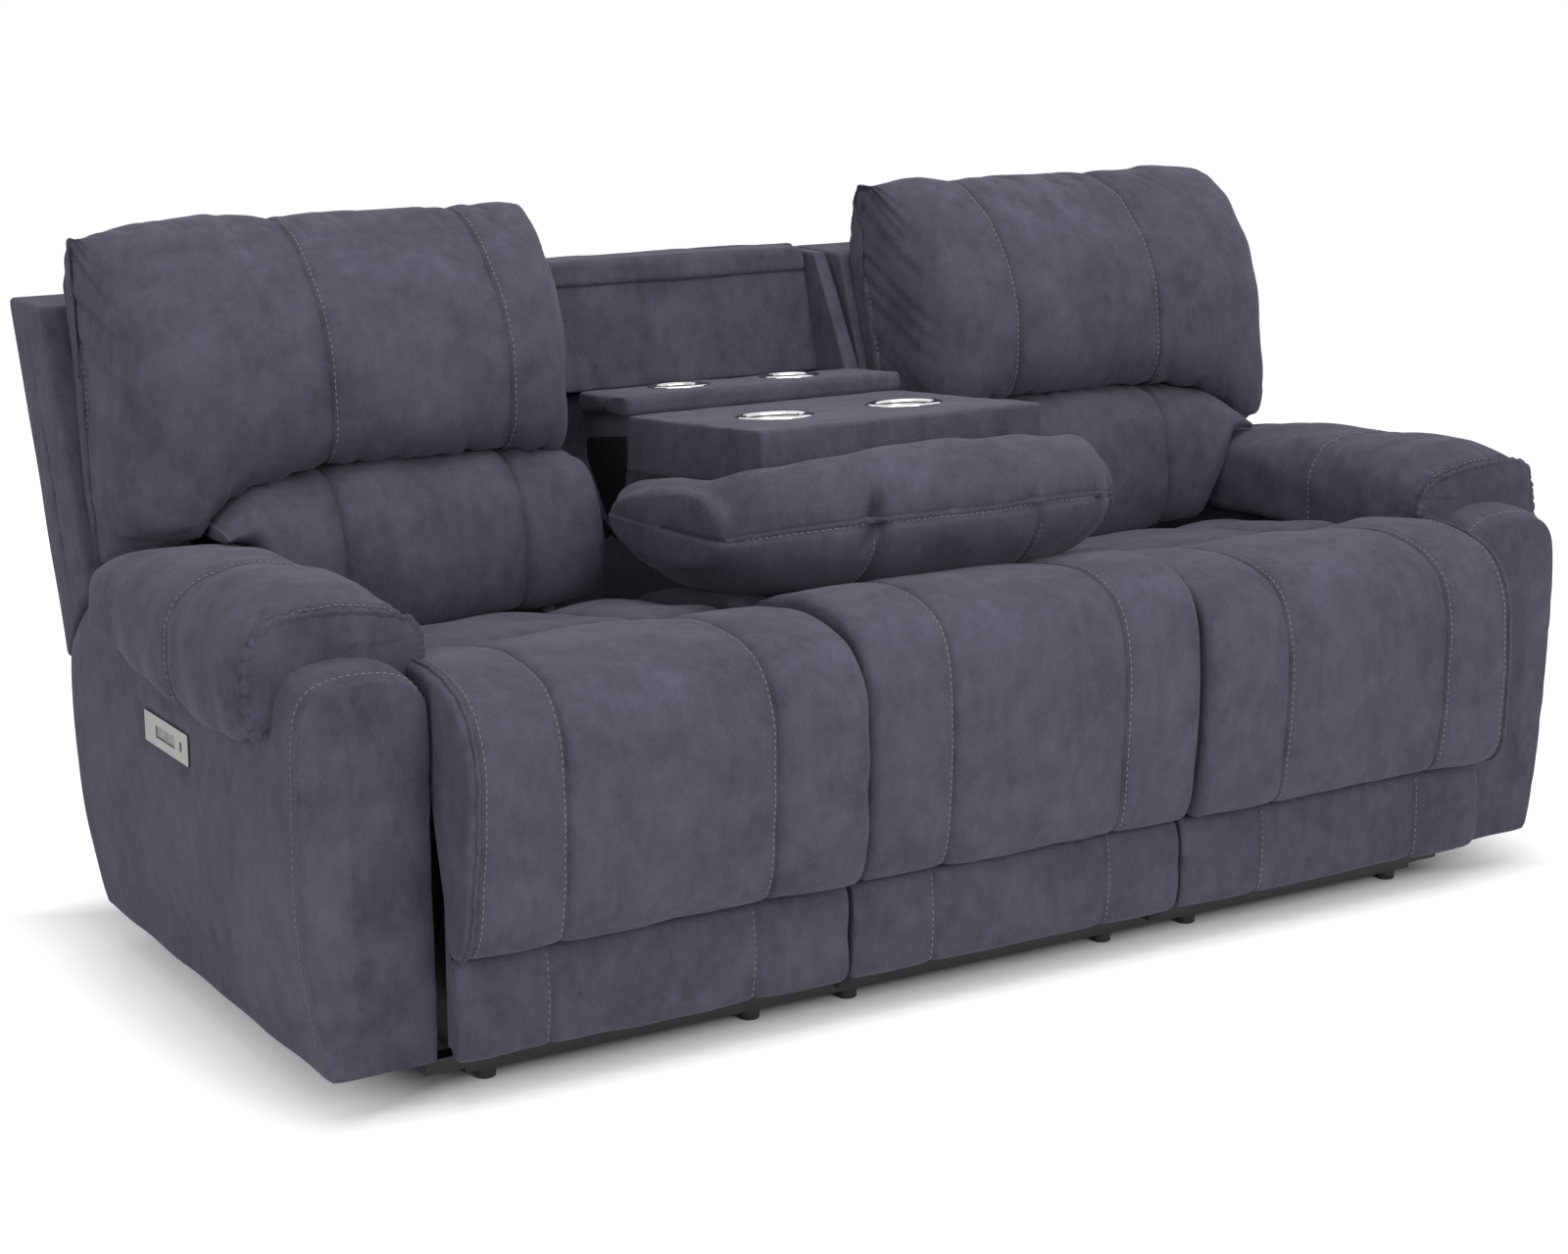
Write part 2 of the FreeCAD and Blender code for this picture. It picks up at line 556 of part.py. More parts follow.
def make_mechanism():
    solids = []
    plate = [
        (RAIL_FRONT + 2.0, GLIDE_H + RAIL), (RAIL_REAR - 8.0, GLIDE_H + RAIL),
        (RAIL_REAR - 8.0, 180.0), (HINGE_Y + 26.0, HINGE_Z), (HINGE_Y, HINGE_Z + 26.0,
        HINGE_Y - 26.0, HINGE_Z), (SEAT_REAR, PLATE_TOP), (RAIL_FRONT + 2.0, PLATE_TOP)]
    for x, way in ((PLATE_X[0], 1.0), (PLATE_X[1], -1.0)):
        inner = x + way * PLATE_T
        sheet = prism_x(plate, min(x, inner), max(x, inner))
        hole = rod_x(HINGE_Y, HINGE_Z, TUBE_R + RUN_GAP, x - 20.0, x + 20.0)
        solids.append(sheet.cut(hole))
        c0 = inner
        c1 = inner + way * (PLATE_T + BAR_T)
        web = inner + way * PLATE_T
        lo, hi = min(c0, c1), max(c0, c1)
        rail = box(lo, hi, RAIL_FRONT + 2.0, BAR_REAR + 20.0, BAR_Z - 4.0, BAR_Z + BAR_H + 4.0)
        slot = box(min(web, c1 + way), max(web, c1 + way), RAIL_FRONT - 10.0, BAR_REAR + 40.0,
                   BAR_Z - 0.5, BAR_Z + BAR_H + 0.5)
        solids.append(rail.cut(slot))
    both("mechanism_plates", solids)

    carriage = []
    for x, way in ((PLATE_X[0], 1.0), (PLATE_X[1], -1.0)):
        a = x + way * (2 * PLATE_T + 0.4)
        b = a + way * (BAR_T - 0.8)
        carriage.append(box(min(a, b), max(a, b), PIN_Y + 4.0, BAR_REAR, BAR_Z, BAR_Z + BAR_H))
        c = x + way * (3 * PLATE_T + BAR_T)
        leg_side = a + way * (BAR_T - 0.8)
        lo, hi = min(leg_side, c), max(leg_side, c)
        leg = [
            (PIN_Y + 4.0, BAR_Z), (PIN_Y + 26.0, BAR_Z), (PIN_Y + 26.0, PIN_Z - 30.0),
            (SEAT_FRONT - 20.0, PIN_Z - 14.0), (SEAT_FRONT - 20.0, PIN_Z + DECK_RISE - DECK_T),
            (PIN_Y + 14.0, PIN_Z + DECK_RISE - DECK_T), (PIN_Y + 12.0, PIN_Z),
            (PIN_Y, PIN_Z + 12.0, PIN_Y - 12.0, PIN_Z), (PIN_Y + 4.0, PIN_Z - 24.0)]
        hole = rod_x(PIN_Y, PIN_Z, TILT_PIN_R + RUN_GAP, lo - 2.0, hi + 2.0)
        carriage.append(prism_x(leg, lo, hi).cut(hole))
    lo = PLATE_X[0] + 3 * PLATE_T + BAR_T
    hi = PLATE_X[1] - 3 * PLATE_T - BAR_T
    carriage.append(box(lo, hi, PIN_Y + 4.0, PIN_Y + 26.0, BAR_Z, BAR_Z + BAR_H))
    carriage.append(box(SPLIT_X + SEAT_GAP + 4.0, SEAT_OUT - 4.0, PIN_Y + 14.0, SEAT_FRONT - 2.0,
                        PIN_Z + DECK_RISE - DECK_T, PIN_Z + DECK_RISE))
    mid = (lo + hi) / 2
    carriage.append(rod_y(mid, BAR_Z + BAR_H / 2, ROD_R, PIN_Y + 26.0, BAR_REAR))
    both("footrest_carriage", carriage)

    board = box(SPLIT_X + SEAT_GAP + 4.0, SEAT_OUT - 4.0, BOARD_FRONT, BOARD_FRONT + BOARD_T,
                PANEL_BOTTOM + 8.0, PIN_Z - 22.0)
    pieces = [board]
    ear = [
        (BOARD_FRONT + BOARD_T, PIN_Z - 60.0), (PIN_Y + 2.0, PIN_Z - 50.0),
        (PIN_Y + 12.0, PIN_Z), (PIN_Y, PIN_Z + 12.0, PIN_Y - 12.0, PIN_Z),
        (BOARD_FRONT + BOARD_T, PIN_Z - 20.0)]
    for a, b, c in ((lo + 0.5, lo + 0.5 + PLATE_T, lo - 7.5), (hi - 0.5 - PLATE_T, hi - 0.5, hi + 7.5)):
        plate_solid = prism_x(ear, a, b)
        pin = rod_x(PIN_Y, PIN_Z, TILT_PIN_R, min(a, c), max(b, c))
        pieces.append(plate_solid.fuse(pin))
    both("footrest_board", pieces)

    tube = rod_x(HINGE_Y, HINGE_Z, TUBE_R, PLATE_X[0] - 4.0, PLATE_X[1] + 4.0)
    low, high = SEAT_TOP - 12.0, 560.0
    arm = [
        (HINGE_Y - 20.0, HINGE_Z), (HINGE_Y, HINGE_Z - 20.0, HINGE_Y + 20.0, HINGE_Z),
        (back_face(low) + 50.0, low), (back_face(high) + 50.0, high),
        (back_face(high) + 4.0, high), (back_face(low) + 4.0, low)]
    arms = []
    for a in (PLATE_X[0] + 9.0, PLATE_X[1] - 9.0 - PLATE_T):
        hole = rod_x(HINGE_Y, HINGE_Z, TUBE_R, a - 2.0, a + PLATE_T + 2.0)
        arms.append(prism_x(arm, a, a + PLATE_T).cut(hole))
    crank_x = mid + 90.0
    half = math.radians(RECLINE / 2)
    pin_y = HINGE_Y + CRANK_R * math.sin(half)
    pin_z = HINGE_Z - CRANK_R * math.cos(half)
    crank = [
        (HINGE_Y - 18.0, HINGE_Z), (HINGE_Y, HINGE_Z + 18.0, HINGE_Y + 18.0, HINGE_Z),
        (pin_y + 9.0, pin_z), (pin_y, pin_z - 9.0, pin_y - 9.0, pin_z)]
    web = prism_x(crank, crank_x - 3.0, crank_x + 3.0)
    web = web.cut(rod_x(HINGE_Y, HINGE_Z, TUBE_R, crank_x - 5.0, crank_x + 5.0))
    web = web.fuse(rod_x(pin_y, pin_z, 5.0, crank_x - 13.0, crank_x + 3.0))
    both("recline_tube", [tube, web] + arms)

    yoke_x0, yoke_x1 = crank_x - 12.0, crank_x - 4.0
    yoke = box(yoke_x0, yoke_x1, pin_y - 14.0, pin_y + 14.0, pin_z - 14.0, pin_z + 12.0)
    slot = box(yoke_x0 - 1.0, yoke_x1 + 1.0, pin_y - 5.4, pin_y + 5.4, pin_z - 9.0, pin_z + 6.0)
    rod_mid = (yoke_x0 + yoke_x1) / 2
    shaft = rod_y(rod_mid, pin_z, ROD_R, 330.0, pin_y - 14.0)
    both("recline_rod", [yoke.cut(slot), shaft])

    drives = []
    for x, z, y0, y1 in ((mid, BAR_Z + BAR_H / 2, 150.0, 440.0), (rod_mid, pin_z, 260.0, 520.0)):
        sleeve = rod_y(x, z, ROD_R + 7.0, y0, y1)
        bore = rod_y(x, z, ROD_R + RUN_GAP, y0 - 1.0, y1 - 20.0 if x == mid else y1 + 1.0)
        drives.append(sleeve.cut(bore))
    drives.append(box(mid - 32.0, mid + 32.0, 380.0, 440.0, 150.0, BAR_Z + BAR_H / 2 - ROD_R - 7.2))
    drives.append(box(rod_mid - 30.0, rod_mid + 30.0, 262.0, 320.0, 150.0, pin_z - ROD_R - 7.2))
    drives.append(box(PLATE_X[0] + PLATE_T, PLATE_X[1] - PLATE_T, 280.0, 420.0, 144.0, 150.0))
    save("drive_units", with_mirror(drives))


# Backs of the end seats

def back_rear(z):
    return REAR_Y + LEAN * (z - BACK_TOP)


def back_face(z):
    """Front plane of the back box, where the pillow rests."""
    return back_rear(z) - BOX_DEPTH


def wing_path():
    """Side view of the back box over an arm, rounded about the recline axis."""
    def around(angle):
        a = math.radians(angle)
        return HINGE_Y + WING_R * math.cos(a), HINGE_Z + WING_R * math.sin(a)
    tip = around(19.5)
    high = around(57.5)
    return [
        (back_face(BACK_TOP), BACK_TOP), high, around(38.0) + tip,
        (back_rear(WING_LOW), WING_LOW), (REAR_Y, BACK_TOP)]


def crease(x):
    """Height of the arched crease between pillow and lumbar pad."""
    peak = 560.0
    if x > peak:
        return 724.0 - 70.0 * ((x - peak) / 400.0) ** 2
    return 724.0 - 24.0 * ((peak - x) / 230.0) ** 2


def pillow_path(x, draw):
    low = crease(x)
    top = PILLOW_TOP - PILLOW_CROWN - draw
    rear_top = back_face(BACK_TOP) - REST_GAP
    return [
        (back_face(low) - REST_GAP, low + SOFT_GAP), (602.0 + draw, low + SOFT_GAP),
        (570.0 + draw, low + 48.0, 592.0 + draw, 850.0),
        (630.0 + draw, 960.0, 684.0 + draw, top - 31.0),
        (705.0 + draw, top - 13.0, 745.0, top),
        (790.0, top - 10.6, 822.0, top - 34.0), (rear_top + LEAN * 3.0, BACK_TOP + 3.0)]


def lumbar_path(x, draw):
    top = crease(x) - CREASE_GAP
    low = SEAT_TOP + 3.0
    return [
        (back_face(top) - REST_GAP, top), (back_face(low) - REST_GAP, low), (566.0, low),
        (512.0 + draw, 556.0, 520.0 + draw, 630.0),
        (540.0 + draw, top - 18.0, 596.0, top)]


def make_backs():
    box_side = [
        (back_face(BACK_TOP), BACK_TOP), (back_face(BACK_LOW + 60.0), BACK_LOW + 60.0),
        (back_rear(BACK_LOW), BACK_LOW), (REAR_Y, BACK_TOP)]
    top_z = BACK_TOP - PANEL_T
    rear_skin = [
        (back_rear(BACK_LOW), BACK_LOW), (REAR_Y, BACK_TOP), (REAR_Y - PANEL_T, BACK_TOP),
        (back_rear(BACK_LOW) - PANEL_T, BACK_LOW)]
    inner_x = BACK_IN + PANEL_T
    outer_x = BACK_OUT - PANEL_T
    rear = prism_x(rear_skin, inner_x, SEAT_OUT)
    wing_rear = prism_x(rear_skin, SEAT_OUT, outer_x).common(
        prism_x(wing_path(), SEAT_OUT, outer_x))
    side_in = prism_x(box_side, BACK_IN, inner_x)
    side_out = prism_x(wing_path(), outer_x, BACK_OUT)
    lid_path = [
        (back_face(top_z), top_z), (back_rear(top_z) - PANEL_T, top_z),
        (REAR_Y - PANEL_T, BACK_TOP), (back_face(BACK_TOP), BACK_TOP)]
    lid = prism_x(lid_path, inner_x, outer_x)
    both("back_shell", [rear, wing_rear, side_in, side_out, lid])

    board = 20.0
    depth = 60.0
    post = [
        (back_face(top_z), top_z), (back_face(460.0), 460.0),
        (back_face(460.0) + depth, 460.0), (back_face(top_z) + depth, top_z)]
    frame = []
    post_in = PLATE_X[0] + 9.0 + PLATE_T
    post_out = PLATE_X[1] - 9.0 - PLATE_T
    frame.append(prism_x(post, post_in, post_in + board))
    frame.append(prism_x(post, post_out - board, post_out))
    wing_post = [
        (back_face(top_z), top_z), (back_face(640.0), 640.0),
        (back_face(640.0) + depth, 640.0), (back_face(top_z) + depth, top_z)]
    frame.append(prism_x(wing_post, outer_x - board - SOFT_GAP, outer_x - SOFT_GAP))
    wing_in = outer_x - board - SOFT_GAP
    for z, x_far in ((top_z - 60.0, wing_in), (660.0, wing_in), (470.0, post_out - board)):
        rail = [
            (back_face(z), z), (back_face(z) + board, z),
            (back_face(z + 55.0) + board, z + 55.0), (back_face(z + 55.0), z + 55.0)]
        span = prism_x(rail, post_in + board, x_far)
        frame += span.cut(frame[1]).Solids
    both("back_frame", frame)

    seams = (458.0, 745.0)
    pillow = stations_between(PILLOW_IN, PILLOW_OUT, seams, PILLOW_CROWN)
    both("back_pillow", [cushion(pillow, pillow_path, (720.0, 880.0))])
    lumbar = stations_between(PILLOW_IN + 5.0, LUMBAR_OUT, seams, PILLOW_CROWN)
    both("lumbar_pad", [cushion(lumbar, lumbar_path, (620.0, 600.0))])


# Centre back: a fixed box with a shallow recess that the raised table lies in

def centre_rear(z):
    slope = (REAR_Y - CENTRE_REAR_LOW) / (BACK_TOP - BACK_LOW)
    return REAR_Y + slope * (z - BACK_TOP)


def swung(y, z, degrees):
    """A point of the console after it has swung up."""
    a = math.radians(-degrees)
    dy, dz = y - CONSOLE_Y, z - CONSOLE_Z
    return (CONSOLE_Y + dy * math.cos(a) - dz * math.sin(a),
            CONSOLE_Z + dy * math.sin(a) + dz * math.cos(a))


def table_point(along, up):
    t = math.radians(TABLE_TILT)
    return (TABLE_FRONT[0] + along * math.cos(t) + up * math.sin(t),
            TABLE_FRONT[1] - along * math.sin(t) + up * math.cos(t))


def recess_line(z, up):
    """Depth of a plane at height z, where up is measured from the raised table's top."""
    a = swung(*table_point(0.0, up), CONSOLE_OPEN)
    b = swung(*table_point(TABLE_LEN, up), CONSOLE_OPEN)
    return b[0] + (a[0] - b[0]) * (z - b[1]) / (a[1] - b[1])


def make_centre_back():
    top = BACK_TOP
    rim = 32.0
    board_low = TABLE_FRONT[1] - 12.0
    board_path = [
        (recess_line(board_low, RECESS_GAP), board_low),
        (recess_line(board_low, RECESS_GAP + DECK_T), board_low),
        (recess_line(top - rim, RECESS_GAP + DECK_T), top - rim),
        (recess_line(top - rim, RECESS_GAP), top - rim)]
    save("recess_board", [prism_x(board_path, -WALL_IN, WALL_IN)])

    bend = 744.0
    wall_low = 380.0
    wall = [
        (centre_rear(top) - PANEL_T, top), (centre_rear(wall_low) - PANEL_T, wall_low),
        (recess_line(480.0, 4.0 - TABLE_T) + 20.0, 480.0),
        (recess_line(bend, 4.0 - TABLE_T), bend), (REAR_Y - WALL_DEPTH, top)]
    side = prism_x(wall, WALL_IN, CENTRE_OUT)
    rim_front = recess_line(top - rim, RECESS_GAP - 3.0)
    rail = [
        (rim_front, top - rim), (centre_rear(top - rim) - PANEL_T, top - rim),
        (centre_rear(top) - PANEL_T, top), (recess_line(top, RECESS_GAP - 3.0), top)]
    cap = prism_x(rail, -WALL_IN, WALL_IN)
    sill_top = PLATE_TOP + 22.0
    sill = box(-CENTRE_OUT, CENTRE_OUT, SEAT_REAR + 1.0, centre_rear(PLATE_TOP) - PANEL_T,
               PLATE_TOP, sill_top)
    legs = []
    low_leg = (SEAT_REAR + 10.0, GLIDE_H + RAIL, PLATE_TOP)
    high_leg = (RAIL_REAR + CENTRE_LEG_FRONT, sill_top, wall_low)
    for front_y, z0, z1 in (low_leg, high_leg):
        leg = [
            (front_y, z0), (centre_rear(z0) - PANEL_T, z0), (centre_rear(z1) - PANEL_T, z1),
            (front_y, z1)]
        legs.append(prism_x(leg, WALL_IN, CENTRE_OUT))
    save("centre_back_frame", with_mirror([side] + legs) + [cap, sill])

    skin = [
        (centre_rear(ARM_BOTTOM), ARM_BOTTOM), (centre_rear(top), top),
        (centre_rear(top) - PANEL_T, top), (centre_rear(ARM_BOTTOM) - PANEL_T, ARM_BOTTOM)]
    middle = prism_x(skin, -CENTRE_OUT, CENTRE_OUT)
    low_y = RAIL_REAR + LOW_PANEL_SET
    low = box(CENTRE_OUT + 6.0, ARM_IN - 4.0, low_y, low_y + LOW_PANEL_T, ARM_BOTTOM, LOW_PANEL_TOP)
    stud_z = GLIDE_H + RAIL
    studs = []
    for x in (CENTRE_OUT + 6.0, PLATE_X[1] - PLATE_T - 30.0):
        studs.append(box(x, x + 22.0, RAIL_REAR - 20.0, low_y, stud_z, stud_z + 40.0))
    save("outer_back_panels", [middle] + with_mirror([low] + studs))


# Console: table, tray, folded pad, cups and hinge plates, all on one hinge

def tilted(shape):
    """From the table's own frame, along and up from its front edge, into place."""
    shape.rotate(Vector(0, 0, 0), Vector(1, 0, 0), -TABLE_TILT)
    shape.translate(Vector(0, TABLE_FRONT[0], TABLE_FRONT[1]))
    return shape


def console_pad_path(x, draw):
    rear = table_point(TABLE_LEN - 8.0, -TABLE_T - SOFT_GAP)
    front = table_point(-2 * SOFT_GAP, -TABLE_T - SOFT_GAP)
    lip = table_point(-2 * SOFT_GAP, -TABLE_T / 2)
    return [
        rear, front, lip,
        (150.0, 764.0 - draw, 100.0, 736.0 - draw),
        (66.0, 708.0, 56.0 + draw, 668.0),
        (78.0, 604.0, 150.0, 552.0 + draw),
        (250.0, 521.0 + draw, 380.0, 517.0 + draw),
        (500.0, 519.0 + draw, 578.0, 545.0),
        (600.0, 590.0) + rear]


def make_console():
    top_edge = 12.0
    slab = Part.makeBox(2 * TABLE_HALF, TABLE_LEN, TABLE_T, Vector(-TABLE_HALF, 0, -TABLE_T))
    slab = slab.makeFillet(top_edge, [e for e in slab.Edges if e.BoundBox.ZLength > TABLE_T - 1
                                      and e.BoundBox.YMax < 1.0])
    tray = Part.makeBox(2 * TRAY_HALF, TRAY_LEN, TRAY_RISE,
                        Vector(-TRAY_HALF, TRAY_FROM, 0.0))
    core = Part.makeBox(2 * TABLE_HALF, TRAY_FROM + TRAY_LEN - TABLE_LEN - 14.0, TABLE_T,
                        Vector(-TABLE_HALF, TABLE_LEN, -TABLE_T))
    tray = tray.fuse(core).removeSplitter()
    cans = []
    rings = []
    for x, along, r, base in ((CUP_FRONT_X, CUP_FRONT_S, CUP_FRONT_R, 0.0),
                              (CUP_REAR_X, CUP_REAR_S, CUP_REAR_R, TRAY_RISE)):
        for side in (-x, x):
            hole = Part.makeCylinder(r, CUP_DEPTH + 1.0, Vector(side, along, base - CUP_DEPTH))
            if base > 0:
                tray = tray.cut(hole)
            else:
                slab = slab.cut(hole)
            can = Part.makeCylinder(r - 0.1, CUP_DEPTH - 0.1, Vector(side, along, base - CUP_DEPTH))
            well = Part.makeCylinder(r - CUP_WALL, CUP_DEPTH, Vector(side, along, base - CUP_DEPTH + 2))
            cans.append(tilted(can.cut(well)))
            ring = Part.makeCylinder(r + RING_LIP, RING_T, Vector(side, along, base))
            bore = Part.makeCylinder(r - CUP_WALL, RING_T + 2, Vector(side, along, base - 1))
            ring = ring.cut(bore)
            rings.append(tilted(ring.makeFillet(1.2, [ring.Edges[0]])))
    save("console_table", [tilted(slab)])
    save("console_tray", [tilted(tray)])
    save("cup_inserts", cans)
    save("cup_rings", rings)

    half = PILLOW_IN - 7.0
    pad_centre = (TABLE_FRONT[0] + 136.0, TABLE_FRONT[1] - 142.0)
    pad_stations = stations_between(-half, half, (), PILLOW_CROWN)
    save("console_pad", [cushion(pad_stations, console_pad_path, pad_centre)])

    grip_front = table_point(TABLE_LEN - 8.0, -TABLE_T + 25.0)
    grip_rear = table_point(TRAY_FROM + TRAY_LEN - 20.0, -TABLE_T + 15.0)
    r = 16.0
    strap = [
        (CONSOLE_Y - r, CONSOLE_Z), (CONSOLE_Y, CONSOLE_Z - r, CONSOLE_Y + r, CONSOLE_Z),
        grip_rear, (grip_rear[0], grip_rear[1] + 30.0), (grip_front[0], grip_front[1] + 30.0),
        grip_front]
    x0, x1 = TABLE_HALF, TABLE_HALF + PLATE_T
    plate = prism_x(strap, x0, x1)
    pin = rod_x(CONSOLE_Y, CONSOLE_Z, CONSOLE_PIN_R, x0, WALL_IN)
    save("console_hinge_plates", with_mirror([plate.fuse(pin)]))

    b0, b1 = WALL_IN - 6.0, WALL_IN
    lug_r = 14.0
    lug = [
        (CONSOLE_Y, CONSOLE_Z + lug_r),
        (CONSOLE_Y - lug_r, CONSOLE_Z, CONSOLE_Y, CONSOLE_Z - lug_r),
        (780.0, 480.0), (800.0, 480.0), (800.0, 575.0), (760.0, CONSOLE_Z + lug_r - 6.0)]
    pin_hole = rod_x(CONSOLE_Y, CONSOLE_Z, CONSOLE_PIN_R + RUN_GAP, b0 - 1, b1 + 1)
    bracket = prism_x(lug, b0, b1).cut(pin_hole)
    save("console_brackets", with_mirror([bracket]))


os.makedirs("parts", exist_ok=True)
make_base()
make_arms()
make_switches()
make_seats()
make_mechanism()
make_backs()
make_centre_back()
make_console()
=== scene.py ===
import json
import math
from functools import reduce

import bpy
import numpy as np
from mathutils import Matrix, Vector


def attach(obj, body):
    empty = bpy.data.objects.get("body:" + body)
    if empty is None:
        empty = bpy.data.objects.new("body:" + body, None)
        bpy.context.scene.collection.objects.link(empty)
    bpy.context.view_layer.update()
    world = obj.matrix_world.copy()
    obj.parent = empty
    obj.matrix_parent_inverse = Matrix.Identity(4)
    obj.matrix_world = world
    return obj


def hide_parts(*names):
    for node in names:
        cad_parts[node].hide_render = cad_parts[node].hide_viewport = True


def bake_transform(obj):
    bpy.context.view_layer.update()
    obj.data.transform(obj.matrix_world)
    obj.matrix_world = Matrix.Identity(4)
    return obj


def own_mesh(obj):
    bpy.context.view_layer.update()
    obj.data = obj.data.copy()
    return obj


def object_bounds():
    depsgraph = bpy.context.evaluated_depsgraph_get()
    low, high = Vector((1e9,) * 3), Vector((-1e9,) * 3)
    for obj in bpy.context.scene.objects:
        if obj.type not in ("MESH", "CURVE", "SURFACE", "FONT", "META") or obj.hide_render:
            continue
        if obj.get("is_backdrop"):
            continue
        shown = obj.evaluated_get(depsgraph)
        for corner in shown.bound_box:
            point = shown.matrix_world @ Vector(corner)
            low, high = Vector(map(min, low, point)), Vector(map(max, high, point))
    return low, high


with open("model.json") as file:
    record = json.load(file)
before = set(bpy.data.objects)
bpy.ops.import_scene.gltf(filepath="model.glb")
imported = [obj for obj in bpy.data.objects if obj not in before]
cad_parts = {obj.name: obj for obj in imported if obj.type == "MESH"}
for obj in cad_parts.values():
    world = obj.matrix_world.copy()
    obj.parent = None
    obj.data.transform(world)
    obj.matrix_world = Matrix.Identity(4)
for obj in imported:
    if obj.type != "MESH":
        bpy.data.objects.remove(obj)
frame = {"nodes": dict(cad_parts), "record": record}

cad_box = [list(corner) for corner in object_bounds()]

# Camera. Depths in this file are measured from the line of the sofa's front
# glides, as an upholsterer would chalk them, and GLIDES moves them into the
# frame, whose origin is the middle of the footprint.
GLIDES = 0.425
LENS = 68.15
EYE = (-2.3808, -3.3318 - GLIDES, 1.4871)
DOWNWARD, SIDEWAYS = 13.455, 31.59
eye = bpy.data.cameras.new("camera")
eye.sensor_width = 36.0
eye.lens = LENS
camera = bpy.data.objects.new("camera", eye)
camera.location = EYE
camera.rotation_euler = (math.radians(90 - DOWNWARD), 0, math.radians(-SIDEWAYS))
bpy.context.scene.collection.objects.link(camera)
bpy.context.scene.camera = camera
bpy.context.scene.view_settings.view_transform = "Standard"


# Studio. A white floor that keeps the sofa's cast shadow and whose glow fades
# out under and round the sofa, a painted soft shadow about its footprint; a
# white surround that only the camera and the metal see; and a few broad lamps
# over a plain fill.
class Socket:
    """A socket of a material's node tree. Arithmetic on it adds Math nodes."""

    def __init__(self, finish, socket):
        self.finish = finish
        self.socket = socket

    def maths(self, operation, first, second):
        return self.finish.add("Math", {"operation": operation}, {0: first, 1: second})

    def __add__(self, other):
        return self.maths("ADD", self, other)

    def __sub__(self, other):
        return self.maths("SUBTRACT", self, other)

    def __rsub__(self, other):
        return self.maths("SUBTRACT", other, self)

    def __mul__(self, other):
        return self.maths("MULTIPLY", self, other)

    def __abs__(self):
        return self.finish.add("Math", {"operation": "ABSOLUTE"}, {0: self})

    def larger(self, other):
        return self.maths("MAXIMUM", self, other)

    __radd__ = __add__
    __rmul__ = __mul__


class Finish:
    """A node tree. add makes every node in it from the node's type, its
    settings and the values or links of its sockets."""

    def __init__(self, tree):
        self.tree = tree
        tree.nodes.clear()

    def add(self, kind, settings={}, sockets={}, output=0):
        node = self.tree.nodes.new("ShaderNode" + kind)
        for name, value in settings.items():
            if name == "stops":
                ramp = node.color_ramp.elements
                while len(ramp) < len(value):
                    ramp.new(0.5)
                for element, (position, colour) in zip(ramp, value):
                    element.position = position
                    element.color = (*colour, 1.0)
            else:
                setattr(node, name, value)
        for name, value in sockets.items():
            if isinstance(value, Socket):
                self.tree.links.new(value.socket, node.inputs[name])
            else:
                node.inputs[name].default_value = value
        return Socket(self, node.outputs[output]) if node.outputs else node

    def rays(self, *kinds):
        """1 on a ray of any of the named kinds, otherwise 0."""
        return reduce(Socket.larger, [self.add("LightPath", output=kind) for kind in kinds])

    def surface(self, sockets):
        body = self.add("BsdfPrincipled", {}, sockets)
        self.add("OutputMaterial", {}, {"Surface": body})


def new_material(name):
    """A material, its node tree and its piece's own coordinates."""
    material = bpy.data.materials.new(name)
    material.use_nodes = True
    finish = Finish(material.node_tree)
    return material, finish, finish.add("TexCoord", output=3)


def new_object(name, points, faces):
    """A mesh object from points given from the glide line, in metres."""
    mesh = bpy.data.meshes.new(name)
    shifted = np.asarray(points, float) - (0, GLIDES, 0)
    mesh.from_pydata(shifted.tolist(), [], [list(face) for face in faces])
    mesh.shade_smooth()
    thing = bpy.data.objects.new(name, mesh)
    bpy.context.scene.collection.objects.link(thing)
    return thing


FLOOR = 16.0
# Size and fade of the painted shadow round the sofa's footprint.
SHADE_ACROSS, SHADE_ALONG = 0.90, 1.90
SHADE_START, SHADE_END = 0.78, 1.06
floor_points = [(-FLOOR, -FLOOR, 0), (FLOOR, -FLOOR, 0), (FLOOR, FLOOR, 0), (-FLOOR, FLOOR, 0)]
floor = new_object("studio_floor", floor_points, [(0, 1, 2, 3)])
material, finish, place = new_material("studio_white")
across = abs(finish.add("SeparateXYZ", {}, {"Vector": place}, 0)) * SHADE_ACROSS
along = abs(finish.add("SeparateXYZ", {}, {"Vector": place}, 1)) * SHADE_ALONG
# The floor's glow fades out towards and under the sofa: a painted soft shadow over the real cast shadow that
# the matt part keeps.
outside_painted_shadow = finish.add("MapRange", {}, {
    "Value": across.larger(along), "From Min": SHADE_START, "From Max": SHADE_END})
seen = finish.rays("Is Camera Ray", "Is Glossy Ray") * outside_painted_shadow
glow = finish.add("Emission", {}, {"Color": (1, 1, 1, 1), "Strength": 0.64})
matt = finish.add("BsdfDiffuse", {}, {"Color": (0.90, 0.90, 0.90, 1)})
lifted = finish.add("AddShader", {}, {0: matt, 1: glow})
surface = finish.add("MixShader", {}, {0: seen, 1: matt, 2: lifted})
finish.add("OutputMaterial", {}, {"Surface": surface})
floor.data.materials.append(material)
floor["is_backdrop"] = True

world = bpy.data.worlds.new("studio")
world.use_nodes = True
bpy.context.scene.world = world
finish = Finish(world.node_tree)
seen = finish.rays("Is Camera Ray", "Is Glossy Ray", "Is Transmission Ray")
fill = finish.add("Background", {}, {"Color": (0.96, 0.98, 1.0, 1), "Strength": 0.42})
